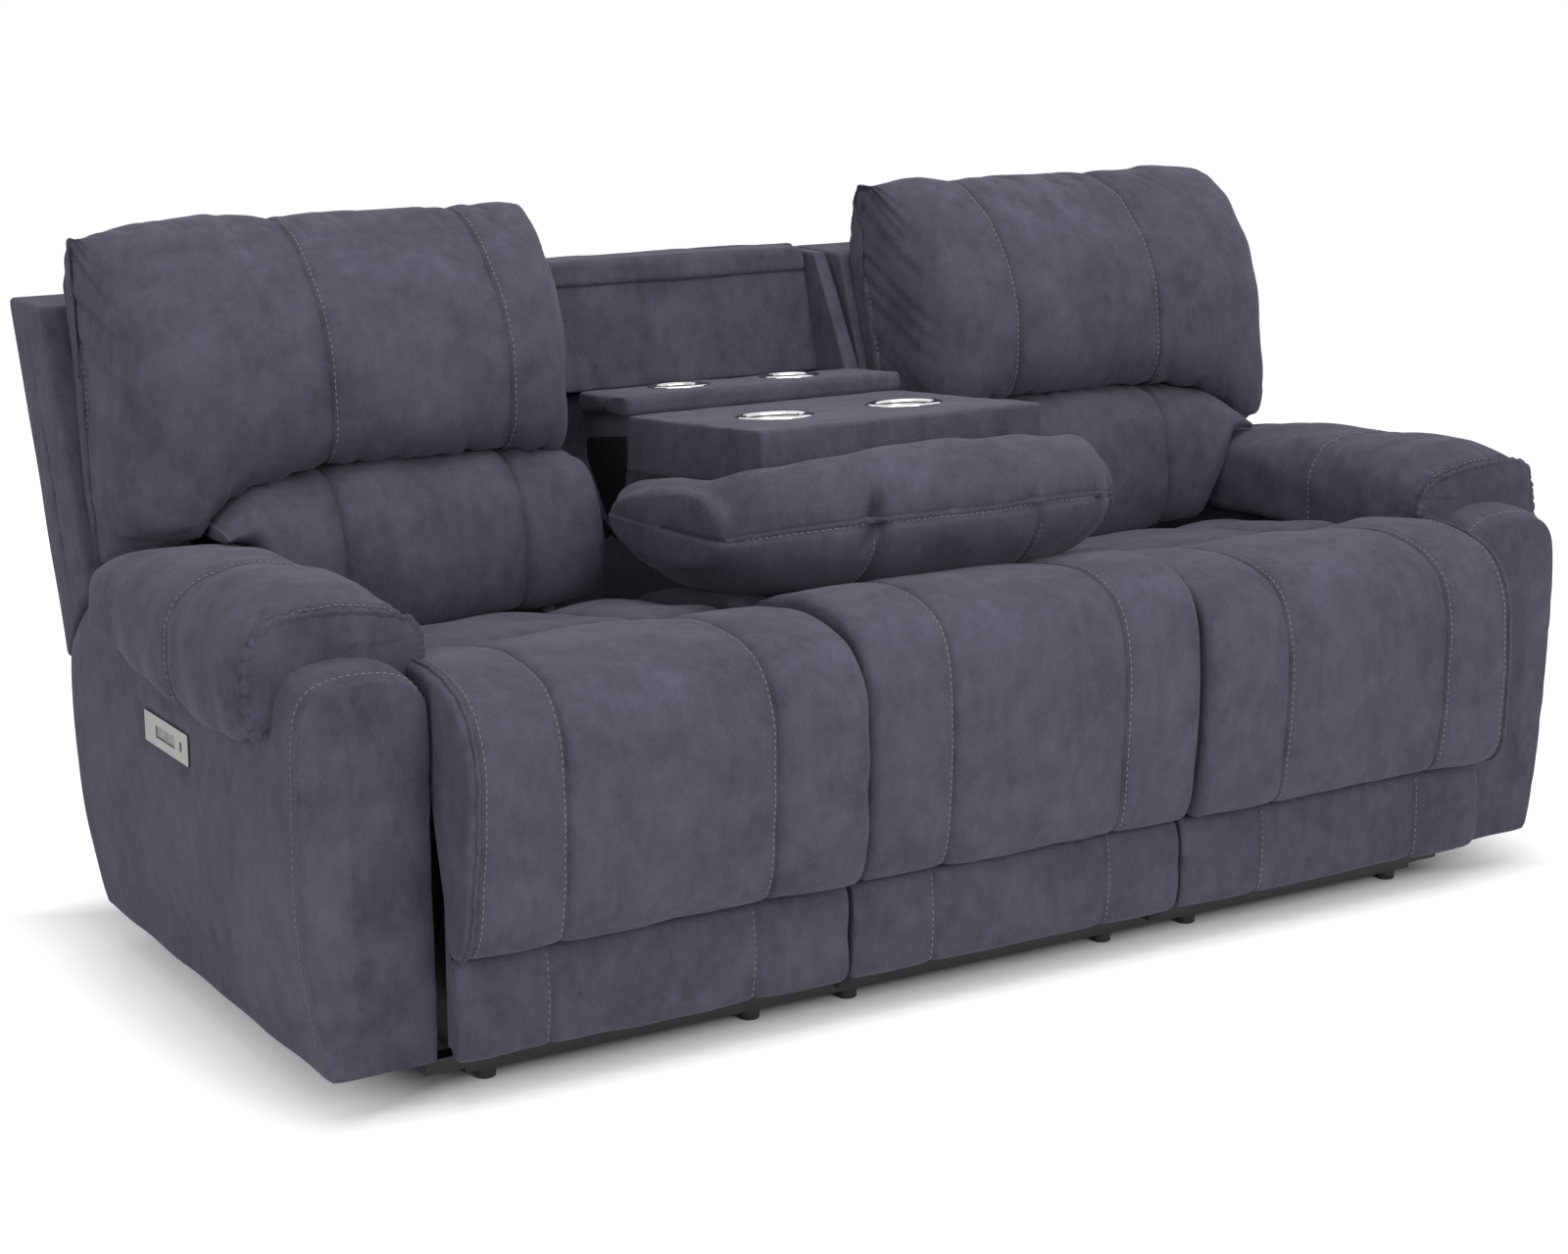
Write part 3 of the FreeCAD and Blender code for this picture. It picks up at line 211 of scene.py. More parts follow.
white = finish.add("Background", {}, {"Color": (1, 1, 1, 1), "Strength": 1.0})
mixed = finish.add("MixShader", {}, {0: seen, 1: fill, 2: white})
finish.add("OutputWorld", {}, {"Surface": mixed})

LAMPS = {
    "overhead": ((-0.2, -0.6, 3.8), (0.0, 0.2, 0.5), 3.0, 62.0),
    "front": ((0.2, -4.6, 2.4), (0.0, 0.0, 0.5), 2.4, 69.0),
    "left": ((-4.4, -1.6, 1.6), (-0.8, 0.3, 0.4), 2.0, 22.0),
}
for name, (place, aim, size, power) in LAMPS.items():
    data = bpy.data.lights.new(name, "AREA")
    data.size = size
    data.energy = power
    lamp = bpy.data.objects.new(name, data)
    lamp.location = place
    direction = [a - b for a, b in zip(aim, place)]
    level = math.hypot(direction[0], direction[1])
    lamp.rotation_euler = (math.atan2(level, -direction[2]), 0,
                           math.atan2(direction[1], direction[0]) - math.pi / 2)
    bpy.context.scene.collection.objects.link(lamp)


# Base. Welded square steel tube, black powder coat, on moulded round glides.
# The pieces keep their CAD shape and get a finish; so do the wooden frames,
# springs and drives inside, each by the slot that the record gives it. Black
# dust cloth is stapled round the seat frames.
def orange_peel(name, colour, roughness, size, depth, metallic=0.0):
    """Fine even bumps, as on powder coat or moulded plastic."""
    material, finish, place = new_material(name)
    bumps = finish.add("TexNoise", {}, {"Vector": place, "Scale": 1.0 / size, "Detail": 2.0})
    patches = finish.add("TexNoise", {}, {"Vector": place, "Scale": 14.0, "Detail": 3.0})
    relief = finish.add("Bump", {}, {"Strength": 0.35, "Distance": depth, "Height": bumps})
    finish.surface({
        "Base Color": (*colour, 1), "Metallic": metallic,
        "Roughness": patches * 0.16 + (roughness - 0.08), "Normal": relief})
    return material


def drawn_metal(name, colour, roughness, along):
    """Metal with fine lines that run along one axis."""
    material, finish, place = new_material(name)
    stretched = finish.add("Mapping", {}, {"Vector": place, "Scale": along})
    lines = finish.add("TexNoise", {}, {"Vector": stretched, "Scale": 1.0, "Detail": 3.0})
    relief = finish.add("Bump", {}, {"Strength": 0.25, "Distance": 0.0001, "Height": lines})
    finish.surface({
        "Base Color": (*colour, 1), "Metallic": 1.0,
        "Roughness": lines * 0.22 + (roughness - 0.11), "Normal": relief})
    return material


def sawn_wood(name, pale, dark):
    """Long grain: bands across the board, stretched along the sofa's width."""
    material, finish, place = new_material(name)
    grain = finish.add("Mapping", {}, {"Vector": place, "Scale": (2.5, 26.0, 26.0)})
    bands = finish.add("TexNoise", {}, {"Vector": grain, "Scale": 3.0, "Detail": 6.0,
                                        "Roughness": 0.65, "Distortion": 0.8})
    tone = finish.add("ValToRGB", {"stops": ((0.3, dark), (0.7, pale))}, {"Fac": bands})
    relief = finish.add("Bump", {}, {"Strength": 0.3, "Distance": 0.0004, "Height": bands})
    finish.surface({"Base Color": tone, "Roughness": 0.72, "Normal": relief})
    return material


finishes = {
    "black_steel": orange_peel("black_powder_coat", (0.012, 0.012, 0.014), 0.42, 0.0012, 0.0002),
    "glide_plastic": orange_peel("black_plastic", (0.010, 0.010, 0.011), 0.5, 0.0008, 0.0001),
    "motor_plastic": orange_peel("dark_plastic", (0.018, 0.018, 0.020), 0.5, 0.0010, 0.0001),
    "key_plastic": orange_peel("grey_key_plastic", (0.21, 0.21, 0.205), 0.42, 0.0006, 0.00005),
    "spring_steel": drawn_metal("spring_wire", (0.32, 0.32, 0.33), 0.4, (900.0, 300.0, 300.0)),
    "satin_nickel": drawn_metal("satin_nickel", (0.27, 0.265, 0.255), 0.40, (700.0, 25.0, 700.0)),
    "cup_steel": drawn_metal("cup_liner_steel", (0.30, 0.30, 0.31), 0.3, (90.0, 90.0, 1200.0)),
    "chrome": drawn_metal("polished_chrome", (0.80, 0.81, 0.83), 0.1, (60.0, 60.0, 60.0)),
    "hardwood": sawn_wood("hardwood", (0.44, 0.29, 0.16), (0.26, 0.15, 0.07)),
}
dust_cloth = orange_peel("black_dust_cloth", (0.014, 0.014, 0.016), 0.85, 0.0016, 0.0003)


def dress(node, material):
    node.data.materials.clear()
    node.data.materials.append(material)


for part in frame["record"]["subparts"]:
    if part["material_slot"] in finishes:
        dress(frame["nodes"][part["node"]], finishes[part["material_slot"]])
dress(frame["nodes"]["seat_frames"], dust_cloth)


# Cover fabric. A suede-like microfibre in slate grey-blue: blotches of brushed
# nap a few centimetres across, a fine pebbled grain and a soft sheen. Raised
# folds are painted a shade lighter and sewn valleys and puckers painted
# darker: painted light and shade that follows each piece's swell.
NAP_DARK = (0.042, 0.041, 0.057)
NAP_LIGHT = (0.116, 0.111, 0.149)


def suede(name):
    material, finish, place = new_material(name)
    broad = finish.add("TexNoise", {}, {"Vector": place, "Scale": 12.0, "Detail": 2.0,
                                        "Distortion": 0.4})
    brushed = finish.add("Mapping", {}, {"Vector": place, "Scale": (1.0, 1.0, 0.6)})
    nap = finish.add("TexNoise", {}, {"Vector": brushed, "Scale": 42.0, "Detail": 5.0,
                                      "Roughness": 0.72})
    grain = finish.add("TexNoise", {}, {"Vector": place, "Scale": 460.0, "Detail": 1.0})
    # Painted light and shade: each piece's attribute, lighter on raised folds and darker in sewn valleys and
    # puckers, is added to the fabric's tone.
    worn = finish.add("Attribute", {"attribute_name": "worn"}, output=2)
    tone = broad * 0.70 + nap * 1.10 + grain * 0.42 + worn - 0.585
    colour = finish.add("ValToRGB", {"stops": ((0.0, NAP_DARK), (1.0, NAP_LIGHT))},
                        {"Fac": tone})
    relief = finish.add("Bump", {}, {"Strength": 0.6, "Distance": 0.0009,
                                     "Height": grain + nap * 0.6})
    finish.surface({
        "Base Color": colour, "Roughness": 0.95, "Specular IOR Level": 0.12,
        "Sheen Weight": 0.14, "Sheen Roughness": 0.45, "Sheen Tint": (0.82, 0.82, 0.95, 1),
        "Normal": relief})
    return material


cloth = suede("slate_microfibre")
for part in frame["record"]["subparts"]:
    if part["material_slot"] == "upholstered_wood":
        dress(frame["nodes"][part["node"]], cloth)


# Arms. A plywood and hardwood frame under a fitted cover: a front panel sewn
# in with a topstitched edge, an outer side that bows out above its foot, and
# a rear shoulder rounded about the recline axis.
def eased(x, places, values):
    """Smooth values between a few stations: cubic pieces whose slope at each
    station is the mean of the slopes beside it."""
    places = np.asarray(places, float)
    values = np.asarray(values, float)
    slopes = np.gradient(values, places, axis=0)
    index = np.clip(np.searchsorted(places, x) - 1, 0, len(places) - 2)
    width = places[index + 1] - places[index]
    t = np.clip((x - places[index]) / width, 0, 1)
    shape = (-1,) + (1,) * (values.ndim - 1)
    t, width = t.reshape(shape), width.reshape(shape)
    return ((2 * t**3 - 3 * t**2 + 1) * values[index]
            + (t**3 - 2 * t**2 + t) * width * slopes[index]
            + (3 * t**2 - 2 * t**3) * values[index + 1]
            + (t**3 - t**2) * width * slopes[index + 1])


def ramp(value, start, end):
    """0 up to start, 1 from end on, and a straight rise between them."""
    return np.clip((value - start) / (end - start), 0, 1)


def ring_through(knots, step):
    """Closed smooth rings through knots[station, knot, 2]: cubic pieces whose
    tangent is half the chord between the neighbours, sampled at even lengths
    of the middle ring."""
    count = knots.shape[-2]

    def at(t):
        base = np.floor(t).astype(int)
        f = (t - base)[:, None]
        p0, p1, p2, p3 = (knots[..., (base + k) % count, :] for k in (-1, 0, 1, 2))
        return 0.5 * (2 * p1 + (p2 - p0) * f + (2 * p0 - 5 * p1 + 4 * p2 - p3) * f**2
                      + (3 * p1 - p0 - 3 * p2 + p3) * f**3)

    fine = np.linspace(0, count, 60 * count + 1)
    line = at(fine)[knots.shape[0] // 2]
    run = np.concatenate([[0], np.cumsum(np.linalg.norm(np.diff(line, axis=0), axis=1))])
    samples = int(round(run[-1] / step))
    return at(np.interp(np.arange(samples) / samples * run[-1], run, fine))


def swept(places, flat, axis=0):
    """Sets each flat ring at its own place along one axis."""
    parts = [flat[..., 0], flat[..., 1]]
    parts.insert(axis, np.repeat(places[:, None], flat.shape[1], 1))
    return np.stack(parts, -1)


SEAM_HALF = 0.003


def stations(first, last, seams, step):
    """Even steps between the two ends, with a station on each seam and one
    close on either side, so that the sewn line stays sharp."""
    stops = [first, *(seam + k * SEAM_HALF for seam in seams for k in (-1, 0, 1)), last]
    pieces = [np.linspace(a, b, max(2, int(round((b - a) / step)) + 1))[:-1]
              for a, b in zip(stops[:-1], stops[1:])]
    return np.concatenate(pieces + [[last]])


ROUND_RINGS, DOME_RINGS = 6, 7
END = ROUND_RINGS + DOME_RINGS


def with_ends(rows, axis, rounding, bulge, rings=ROUND_RINGS, inner=DOME_RINGS):
    """Closes a swept form at both ends. Each end ring first turns in on a
    quarter circle and then shrinks to its middle on a shallow dome."""
    def cap(ring, way, turn, dome):
        middle = ring.mean(axis=0)
        spoke = ring - middle
        length = np.linalg.norm(spoke, axis=1, keepdims=True)
        angle = np.linspace(0, np.pi / 2, rings + 1)[1:, None, None]
        kept = 1 - turn * (1 - np.cos(angle)) / np.maximum(length, turn * 1.4)
        turned = middle + spoke * kept
        turned[..., axis] = ring[..., axis] + way * turn * np.sin(angle[..., 0])
        share = np.linspace(1, 0.08, inner + 1)[1:, None, None]
        last = turned[-1]
        centre = last.mean(axis=0)
        shrunk = centre + (last - centre) * share
        shrunk[..., axis] = last[..., axis] + way * dome * (1 - share[..., 0] ** 2)
        return np.concatenate([turned, shrunk])
    way = np.sign(rows[-1, 0, axis] - rows[0, 0, axis])
    start = cap(rows[0], -way, rounding[0], bulge[0])[::-1]
    end = cap(rows[-1], way, rounding[1], bulge[1])
    return np.concatenate([start, rows, end])


def outward(rows):
    """Unit normals of a closed swept form: the cross product of its two
    directions, turned away from the ring's middle."""
    along = np.gradient(rows, axis=0)
    around = np.roll(rows, -1, axis=1) - np.roll(rows, 1, axis=1)
    normal = np.cross(along, around)
    normal /= np.maximum(np.linalg.norm(normal, axis=2, keepdims=True), 1e-12)
    facing = (normal * (rows - rows.mean(axis=1, keepdims=True))).sum(axis=2).mean()
    return normal if facing > 0 else -normal


def closed_form(name, rows):
    """Mesh of a closed swept form, one quad per cell, each end closed on the
    middle of its last ring, faces outwards."""
    count, around = rows.shape[:2]
    points = np.concatenate([rows.reshape(-1, 3), rows[[0, -1]].mean(axis=1)])
    i, j = np.meshgrid(np.arange(count - 1), np.arange(around), indexing="ij")
    k = (j + 1) % around
    quads = np.stack([i * around + j, i * around + k, (i + 1) * around + k,
                      (i + 1) * around + j], axis=-1).reshape(-1, 4)
    j = np.arange(around)
    k = (j + 1) % around
    last = (count - 1) * around
    first_fan = np.stack([np.full(around, count * around), k, j], axis=-1)
    last_fan = np.stack([np.full(around, count * around + 1), last + j, last + k], axis=-1)
    middle = points.mean(axis=0)
    volume = 0.0
    for triangles in (quads[:, :3], quads[:, [0, 2, 3]], first_fan, last_fan):
        a, b, c = (points[triangles[:, n]] - middle for n in (0, 1, 2))
        volume += (a * np.cross(b, c)).sum()
    flip = slice(None, None, -1) if volume < 0 else slice(None)
    faces = [f[flip] for f in quads.tolist() + first_fan.tolist() + last_fan.tolist()]
    return new_object(name, points, faces)


def valley(x, seams, depth, width):
    """Sewn lines: deepest on the line and fading on both sides."""
    return -depth * sum(np.exp(-np.abs(x - seam) / width) for seam in seams)


# Depth and width of the painted shade along sewn lines.
SEAM_SHADE = (0.22, 0.0035)


def crown(x, edges, height):
    """Swell between sewn lines, a flattened half sine in each panel."""
    edges = np.asarray(edges)
    index = np.clip(np.searchsorted(edges, x) - 1, 0, len(edges) - 2)
    t = ramp(x, edges[index], edges[index + 1])
    return height * np.sin(np.pi * t) ** 0.7


def gathers(along, away, first, last, pitch, depth, reach, seed):
    """Puckers that run out from a sewn line. along is the place on the line
    and away the distance from it. Each is a narrow valley beside a low swell,
    with its own place, depth, width, reach and lean."""
    pick = np.random.default_rng(seed)
    field = np.zeros(np.broadcast(along, away).shape)
    for number in range(int((last - first) / pitch)):
        place = first + (number + 0.5 + pick.uniform(-0.38, 0.38)) * pitch
        deep = depth * pick.uniform(0.25, 1.0)
        wide = pitch * pick.uniform(0.13, 0.26)
        far = reach * pick.uniform(0.4, 1.3)
        lean = pick.uniform(-0.55, 0.55)
        across = (along - place - lean * away) / wide
        fade = np.exp(-(np.maximum(away, 0) / far) ** 1.6)
        field += deep * fade * (0.45 * np.exp(-((across - 1.9) / 1.3) ** 2)
                                - np.exp(-np.abs(across) ** 1.4))
    return field


def unevenness(rows, size, height, seed):
    """Slow lumps in the stuffing: a sum of plane waves of mixed direction."""
    pick = np.random.default_rng(seed)
    field = np.zeros(rows.shape[:2])
    for number in range(9):
        wave = pick.normal(size=3) * 2 * np.pi / size
        field += np.sin(rows @ wave + pick.uniform(0, 6.28))
    return field * height / 3


def round_distance(rows):
    """Length run round each ring, from its first point."""
    step = np.linalg.norm(np.roll(rows, -1, axis=1) - rows, axis=2)
    return np.concatenate([np.zeros((len(rows), 1)), np.cumsum(step, axis=1)[:, :-1]], axis=1)


def ring_place(rows, y, z, station=None):
    """Ring place nearest to a point of the side view, at the middle station
    or a given one."""
    ring = rows[len(rows) // 2 if station is None else station]
    return int(np.argmin(np.hypot(ring[:, 1] - y, ring[:, 2] - z)))


def length_from(rows, y, z):
    """Length run round each ring from the place nearest to a point."""
    run, place = round_distance(rows), ring_place(rows, y, z)
    return run - run[:, place:place + 1]


def finished(thing, body, nodes, material=cloth, worn=None):
    """Finish, body and hidden CAD parts for an upholstered piece."""
    # Painted light and shade per point, which the cover's material adds to its tone.
    if worn is not None:
        values = np.concatenate([worn.ravel(), worn[[0, -1]].mean(axis=1)])
        attribute = thing.data.attributes.new("worn", "FLOAT", "POINT")
        attribute.data.foreach_set("value", values.astype(np.float32))
    thing.data.materials.append(material)
    if body:
        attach(thing, body)
    if nodes:
        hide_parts(*nodes)
    return thing


def covered(name, body, nodes, rows, puff, worn, side=1):
    """Swells a form along its normals by puff, mirrors it for its side and
    gives it its cover."""
    rows += outward(rows) * puff[..., None]
    rows[..., 0] *= side
    thing = finished(closed_form(name, rows), body, nodes, worn=worn)
    return thing


THREAD_PITCH = 0.0098
THREAD_DASH = 0.0066
THREAD_R = 0.00062
threads = {}


def sample(rows, i, j):
    """Points of the form at fractional station i and ring place j."""
    i = np.clip(i, 0, len(rows) - 1.001)
    around = rows.shape[1]
    a, b = np.floor(i).astype(int), np.floor(j).astype(int)
    u, v = (i - a)[:, None], (j - b)[:, None]
    corner = lambda p, q: rows[a + p, (b + q) % around]
    return (corner(0, 0) * (1 - u) * (1 - v) + corner(1, 0) * u * (1 - v)
            + corner(0, 1) * (1 - u) * v + corner(1, 1) * u * v)


def topstitch(key, rows, i, j):
    """Queues a row of stitches that follows the form's surface through the
    places (i, j)."""
    i, j = np.broadcast_arrays(np.asarray(i, float), np.asarray(j, float))
    threads.setdefault(key, []).append((sample(rows, i, j), sample(outward(rows), i, j)))


def welt(name, body, rows, i, j, high, wide, lift=0.0):
    """A folded flange of cover cloth that stands on a seam: a flattened tube
    along the places (i, j), high across the surface and wide along its face."""
    i, j = np.broadcast_arrays(np.asarray(i, float), np.asarray(j, float))
    line, out = sample(rows, i, j), sample(outward(rows), i, j)
    out /= np.linalg.norm(out, axis=1, keepdims=True)
    ahead = np.gradient(line, axis=0)
    ahead /= np.linalg.norm(ahead, axis=1, keepdims=True)
    aside = np.cross(out, ahead)
    turn = np.arange(10) * 2 * np.pi / 10
    sway = 0.0011 * np.sin(np.arange(len(line)) * 0.83) * np.sin(np.arange(len(line)) * 0.31)
    centre = line + out * lift + aside * sway[:, None]
    tube = (centre[:, None] + out[:, None] * np.cos(turn)[:, None] * high
            + aside[:, None] * np.sin(turn)[:, None] * wide)
    return finished(closed_form(name, tube), body, [])


def stitching(name, lines):
    """One mesh of short threads. Each dash has four rings of five points along
    the line, its ends sunk in the fabric and its middle raised."""
    parts = []
    for line, out in lines:
        run = np.concatenate([[0], np.cumsum(np.linalg.norm(np.diff(line, axis=0), axis=1))])
        count = int(run[-1] / THREAD_PITCH)
        centre = (np.arange(count) + 0.5) * THREAD_PITCH
        where = centre[:, None] + np.array([-0.5, -0.3, 0.3, 0.5]) * THREAD_DASH
        spot = np.stack([np.interp(where, run, line[:, k]) for k in range(3)], axis=-1)
        up = np.stack([np.interp(where, run, out[:, k]) for k in range(3)], axis=-1)
        up /= np.linalg.norm(up, axis=-1, keepdims=True)
        ahead = np.gradient(spot, axis=1)
        aside = np.cross(up, ahead)
        aside /= np.maximum(np.linalg.norm(aside, axis=-1, keepdims=True), 1e-12)
        lift = np.array([-0.8, 0.75, 0.75, -0.8])[:, None] * THREAD_R
        turn = np.arange(5) * 2 * np.pi / 5
        size = THREAD_R * np.array([0.5, 1, 1, 0.5])[:, None, None]
        ring = (spot + up * lift)[..., None, :] + size * (
            aside[..., None, :] * np.cos(turn)[:, None] + up[..., None, :] * np.sin(turn)[:, None])
        parts.append(ring.reshape(-1, 20, 3))
    dashes = np.concatenate(parts)
    side = [(r * 5 + k, r * 5 + (k + 1) % 5, (r + 1) * 5 + (k + 1) % 5, (r + 1) * 5 + k)
            for r in range(3) for k in range(5)]
    base = np.arange(len(dashes))[:, None, None] * 20
    quads = (base + np.array(side)[None]).reshape(-1, 4)
    ends = (base + np.array([[4, 3, 2, 1, 0], [15, 16, 17, 18, 19]])[None]).reshape(-1, 5)
    return new_object(name, dashes.reshape(-1, 3), quads.tolist() + ends.tolist())


ARM_TOP = 0.586
ARM_SECTION = np.array([
    (0.886, 0.070), (0.885, 0.200), (0.885, 0.340), (0.885, 0.450), (0.886, 0.520),
    (0.893, 0.556), (0.922, 0.578), (0.974, 0.586), (1.022, 0.580), (1.050, 0.562),
    (1.061, 0.525), (1.064, 0.440), (1.063, 0.340), (1.059, 0.240), (1.049, 0.150),
    (1.037, 0.070), (1.026, 0.056), (0.960, 0.055), (0.895, 0.056)])
RECLINE_Y, RECLINE_Z = 0.600, 0.360
SHOULDER = 0.213
ARM_FRONT, ARM_REAR, ARM_FOOT = -0.057, 0.787, 0.056
ARM_SIDE = 1.061
ARM_DOME = 12
PLATE_Y, PLATE_Z = (0.325, 0.490), (0.384, 0.428)
PLATE_MARGIN, PLATE_BED = 0.016, 0.0008


def arm_height(y):
    """Height of the arm's top: rises from the front seam and ends on the
    rear shoulder's circle about the recline axis."""
    circle = RECLINE_Z + np.sqrt(np.maximum(SHOULDER**2 - (y - RECLINE_Y) ** 2, 0.0064))
    level = eased(y, [-0.06, -0.03, 0.0, 0.05, 0.9], [0.572, 0.582, 0.586, 0.586, 0.586])
    return np.minimum(level, np.where(y > RECLINE_Y, circle + 0.012, 1.0))


for side, name in ((1, "right"), (-1, "left")):
    y = stations(ARM_FRONT + 0.008, ARM_REAR - 0.012, (), 0.011)
    rings = np.repeat(ARM_SECTION[None], len(y), axis=0)
    scale = (arm_height(y) - ARM_FOOT) / (ARM_TOP - ARM_FOOT)
    rings[..., 1] = ARM_FOOT + (rings[..., 1] - ARM_FOOT) * scale[:, None]
    flat = ring_through(rings, 0.0080)
    rows = with_ends(swept(y, flat, 1), 1, (0.008, 0.012), (0.006, 0.003), rings=4, inner=ARM_DOME)
    rows[..., 1] += 0.02 * ramp(rows[..., 2], ARM_FOOT, 0.456) * ramp(rows[..., 1], 0.60, 0.80)
    x, y, z = rows[..., 0], rows[..., 1], rows[..., 2]
    away = y - ARM_FRONT
    puff = unevenness(rows, 0.34, 0.0012, 11 + side)
    puff += 0.003 * (x > 1.0) * np.sin(np.pi * ramp(z, 0.06, 0.56))
    puff += valley(away, (0.010,), 0.0026, 0.005)
    puff += gathers(z, away, 0.10, 0.54, 0.075, 0.0016, 0.05, 21 + side)
    puff += valley(np.hypot(x - 1.052, z - 0.560), (0,), 0.0026, 0.005) * (away > 0)
    rows += outward(rows) * puff[..., None]
    pressed = 1.0
    for value, (low, high) in ((y, PLATE_Y), (z, PLATE_Z)):
        pressed = pressed * ramp(np.maximum(low - value, value - high), PLATE_MARGIN, 0)
    sunk = np.minimum(x, ARM_SIDE - PLATE_BED)
    rows[..., 0] = np.where(x > 1.0, x + (sunk - x) * pressed, x) * side
    arm = closed_form("arm_cover_" + name, rows)
    # Painted light and shade on the cover: lighter where it bows out, darker in its seams and puckers.
    finished(arm, "root", ["arm_side_panels_" + name, "arm_front_panel_" + name], worn=puff * 40)
    front = ARM_DOME + 4
    ring = np.abs(rows[front + 4])
    start = np.argmin(np.hypot(ring[:, 0] - 0.888, ring[:, 2] - 0.50))
    stop = np.argmin(np.hypot(ring[:, 0] - 1.037, ring[:, 2] - 0.075))
    topstitch("root", rows, front + 1.2, np.linspace(start, stop, 240))


# Arm pads. A rolled pillow over each arm, sewn of two lengths of cover with a
# topstitched cross seam, closed at the front by a flat D-shaped end whose
# welt stands proud, with small puckers drawn in round it.
PAD_FACE = np.array([
    (0.880, 0.520), (0.862, 0.524), (0.857, 0.548), (0.857, 0.578), (0.862, 0.604),
    (0.880, 0.623), (0.915, 0.634), (0.960, 0.641), (1.005, 0.643), (1.045, 0.641),
    (1.072, 0.630), (1.086, 0.606), (1.091, 0.570), (1.092, 0.535), (1.087, 0.508),
    (1.076, 0.502), (1.067, 0.512), (1.066, 0.540), (1.056, 0.564), (1.022, 0.584),
    (0.974, 0.591), (0.926, 0.584), (0.900, 0.566), (0.888, 0.540)])
PAD_BODY = np.array([
    (0.880, 0.508), (0.863, 0.512), (0.859, 0.545), (0.860, 0.585), (0.869, 0.621),
    (0.893, 0.648), (0.930, 0.662), (0.975, 0.668), (1.018, 0.665), (1.054, 0.652),
    (1.080, 0.629), (1.096, 0.596), (1.101, 0.558), (1.100, 0.525), (1.092, 0.498),
    (1.078, 0.488), (1.067, 0.500), (1.066, 0.536), (1.056, 0.564), (1.022, 0.584),
    (0.974, 0.591), (0.926, 0.584), (0.900, 0.566), (0.888, 0.538)])
PAD_FRONT, PAD_REAR = 0.024, 0.606
PAD_SHOULDER, PAD_CROWN = 0.595, 0.668
PAD_WAIST, PAD_HEM = 0.540, 0.488
CROSS_SEAM = 0.290
WELT_SEAM = 0.010

for side, name in ((1, "right"), (-1, "left")):
    y = stations(PAD_FRONT + 0.003, PAD_REAR - 0.022, (PAD_FRONT + 0.009, CROSS_SEAM), 0.0052)
    places = [0.02, 0.045, 0.11, 0.20, 0.30, 0.42, 0.50, 0.56, 0.61]
    top = eased(y, places, [0.668, 0.669, 0.671, 0.669, 0.660, 0.650, 0.641, 0.632, 0.624])
    low = eased(y, places, [0.488, 0.487, 0.478, 0.474, 0.478, 0.496, 0.506, 0.514, 0.520])
    swollen = ramp(y, PAD_FRONT + 0.004, PAD_FRONT + 0.079)[:, None, None] ** 0.42
    rings = PAD_FACE * (1 - swollen) + PAD_BODY * swollen
    x, z = rings[..., 0], rings[..., 1]
    lifted = (top[:, None] - PAD_SHOULDER) / (PAD_CROWN - PAD_SHOULDER)
    z = np.where(z > PAD_SHOULDER, PAD_SHOULDER + (z - PAD_SHOULDER) * lifted, z)
    hung = (PAD_WAIST - low[:, None]) / (PAD_WAIST - PAD_HEM)
    z = np.where((z < PAD_WAIST) & (x > 1.0), PAD_WAIST + (z - PAD_WAIST) * hung, z)
    flat = ring_through(np.stack([x, z], -1), 0.0050)
    rows = with_ends(swept(y, flat, 1), 1, (0.003, 0.020), (0.002, 0.004), rings=4, inner=9)
    x, away, z = rows[..., 0], rows[..., 1] - PAD_FRONT, rows[..., 2]
    from_cross = rows[..., 1] - CROSS_SEAM
    run = round_distance(rows)
    puff = valley(from_cross, (0,), 0.0034, 0.008)
    puff += 0.003 * np.sin(np.pi * ramp(from_cross, 0, 0.31))
    puff += gathers(run, away - 0.006, 0.0, 0.78, 0.021, 0.0052, 0.034, 41 + side)
    puff += gathers(run, np.abs(from_cross), 0.0, 0.78, 0.045, 0.0018, 0.03, 43 + side)
    puff -= 0.0050 * np.exp(-((away - WELT_SEAM) / 0.004) ** 2)
    puff[:END] = 0
    puff += unevenness(rows, 0.20, 0.0018, 31 + side)
    # Painted shade in the groove round the welted front, and painted light and shade after the swell.
    shade = 0.10 * np.exp(-((away - WELT_SEAM) / 0.005) ** 2)
    visible = (z > 0.600) | (np.abs(x) > 1.072) | (x < 0.875)
    covered("arm_pillow_" + name, "root", ["arm_pad_" + name], rows, puff * visible, puff * 30 - shade,
            side)
    seen = np.linspace(1.5, rows.shape[1] * 0.615, 230)
    welt("arm_welt_" + name, "root", rows, float(END), seen, 0.0070, 0.0030, 0.0020)
    for seam in (PAD_FRONT + 0.0135, CROSS_SEAM + 0.0065):
        topstitch("root", rows, END + np.interp(seam, y, np.arange(len(y))), seen)


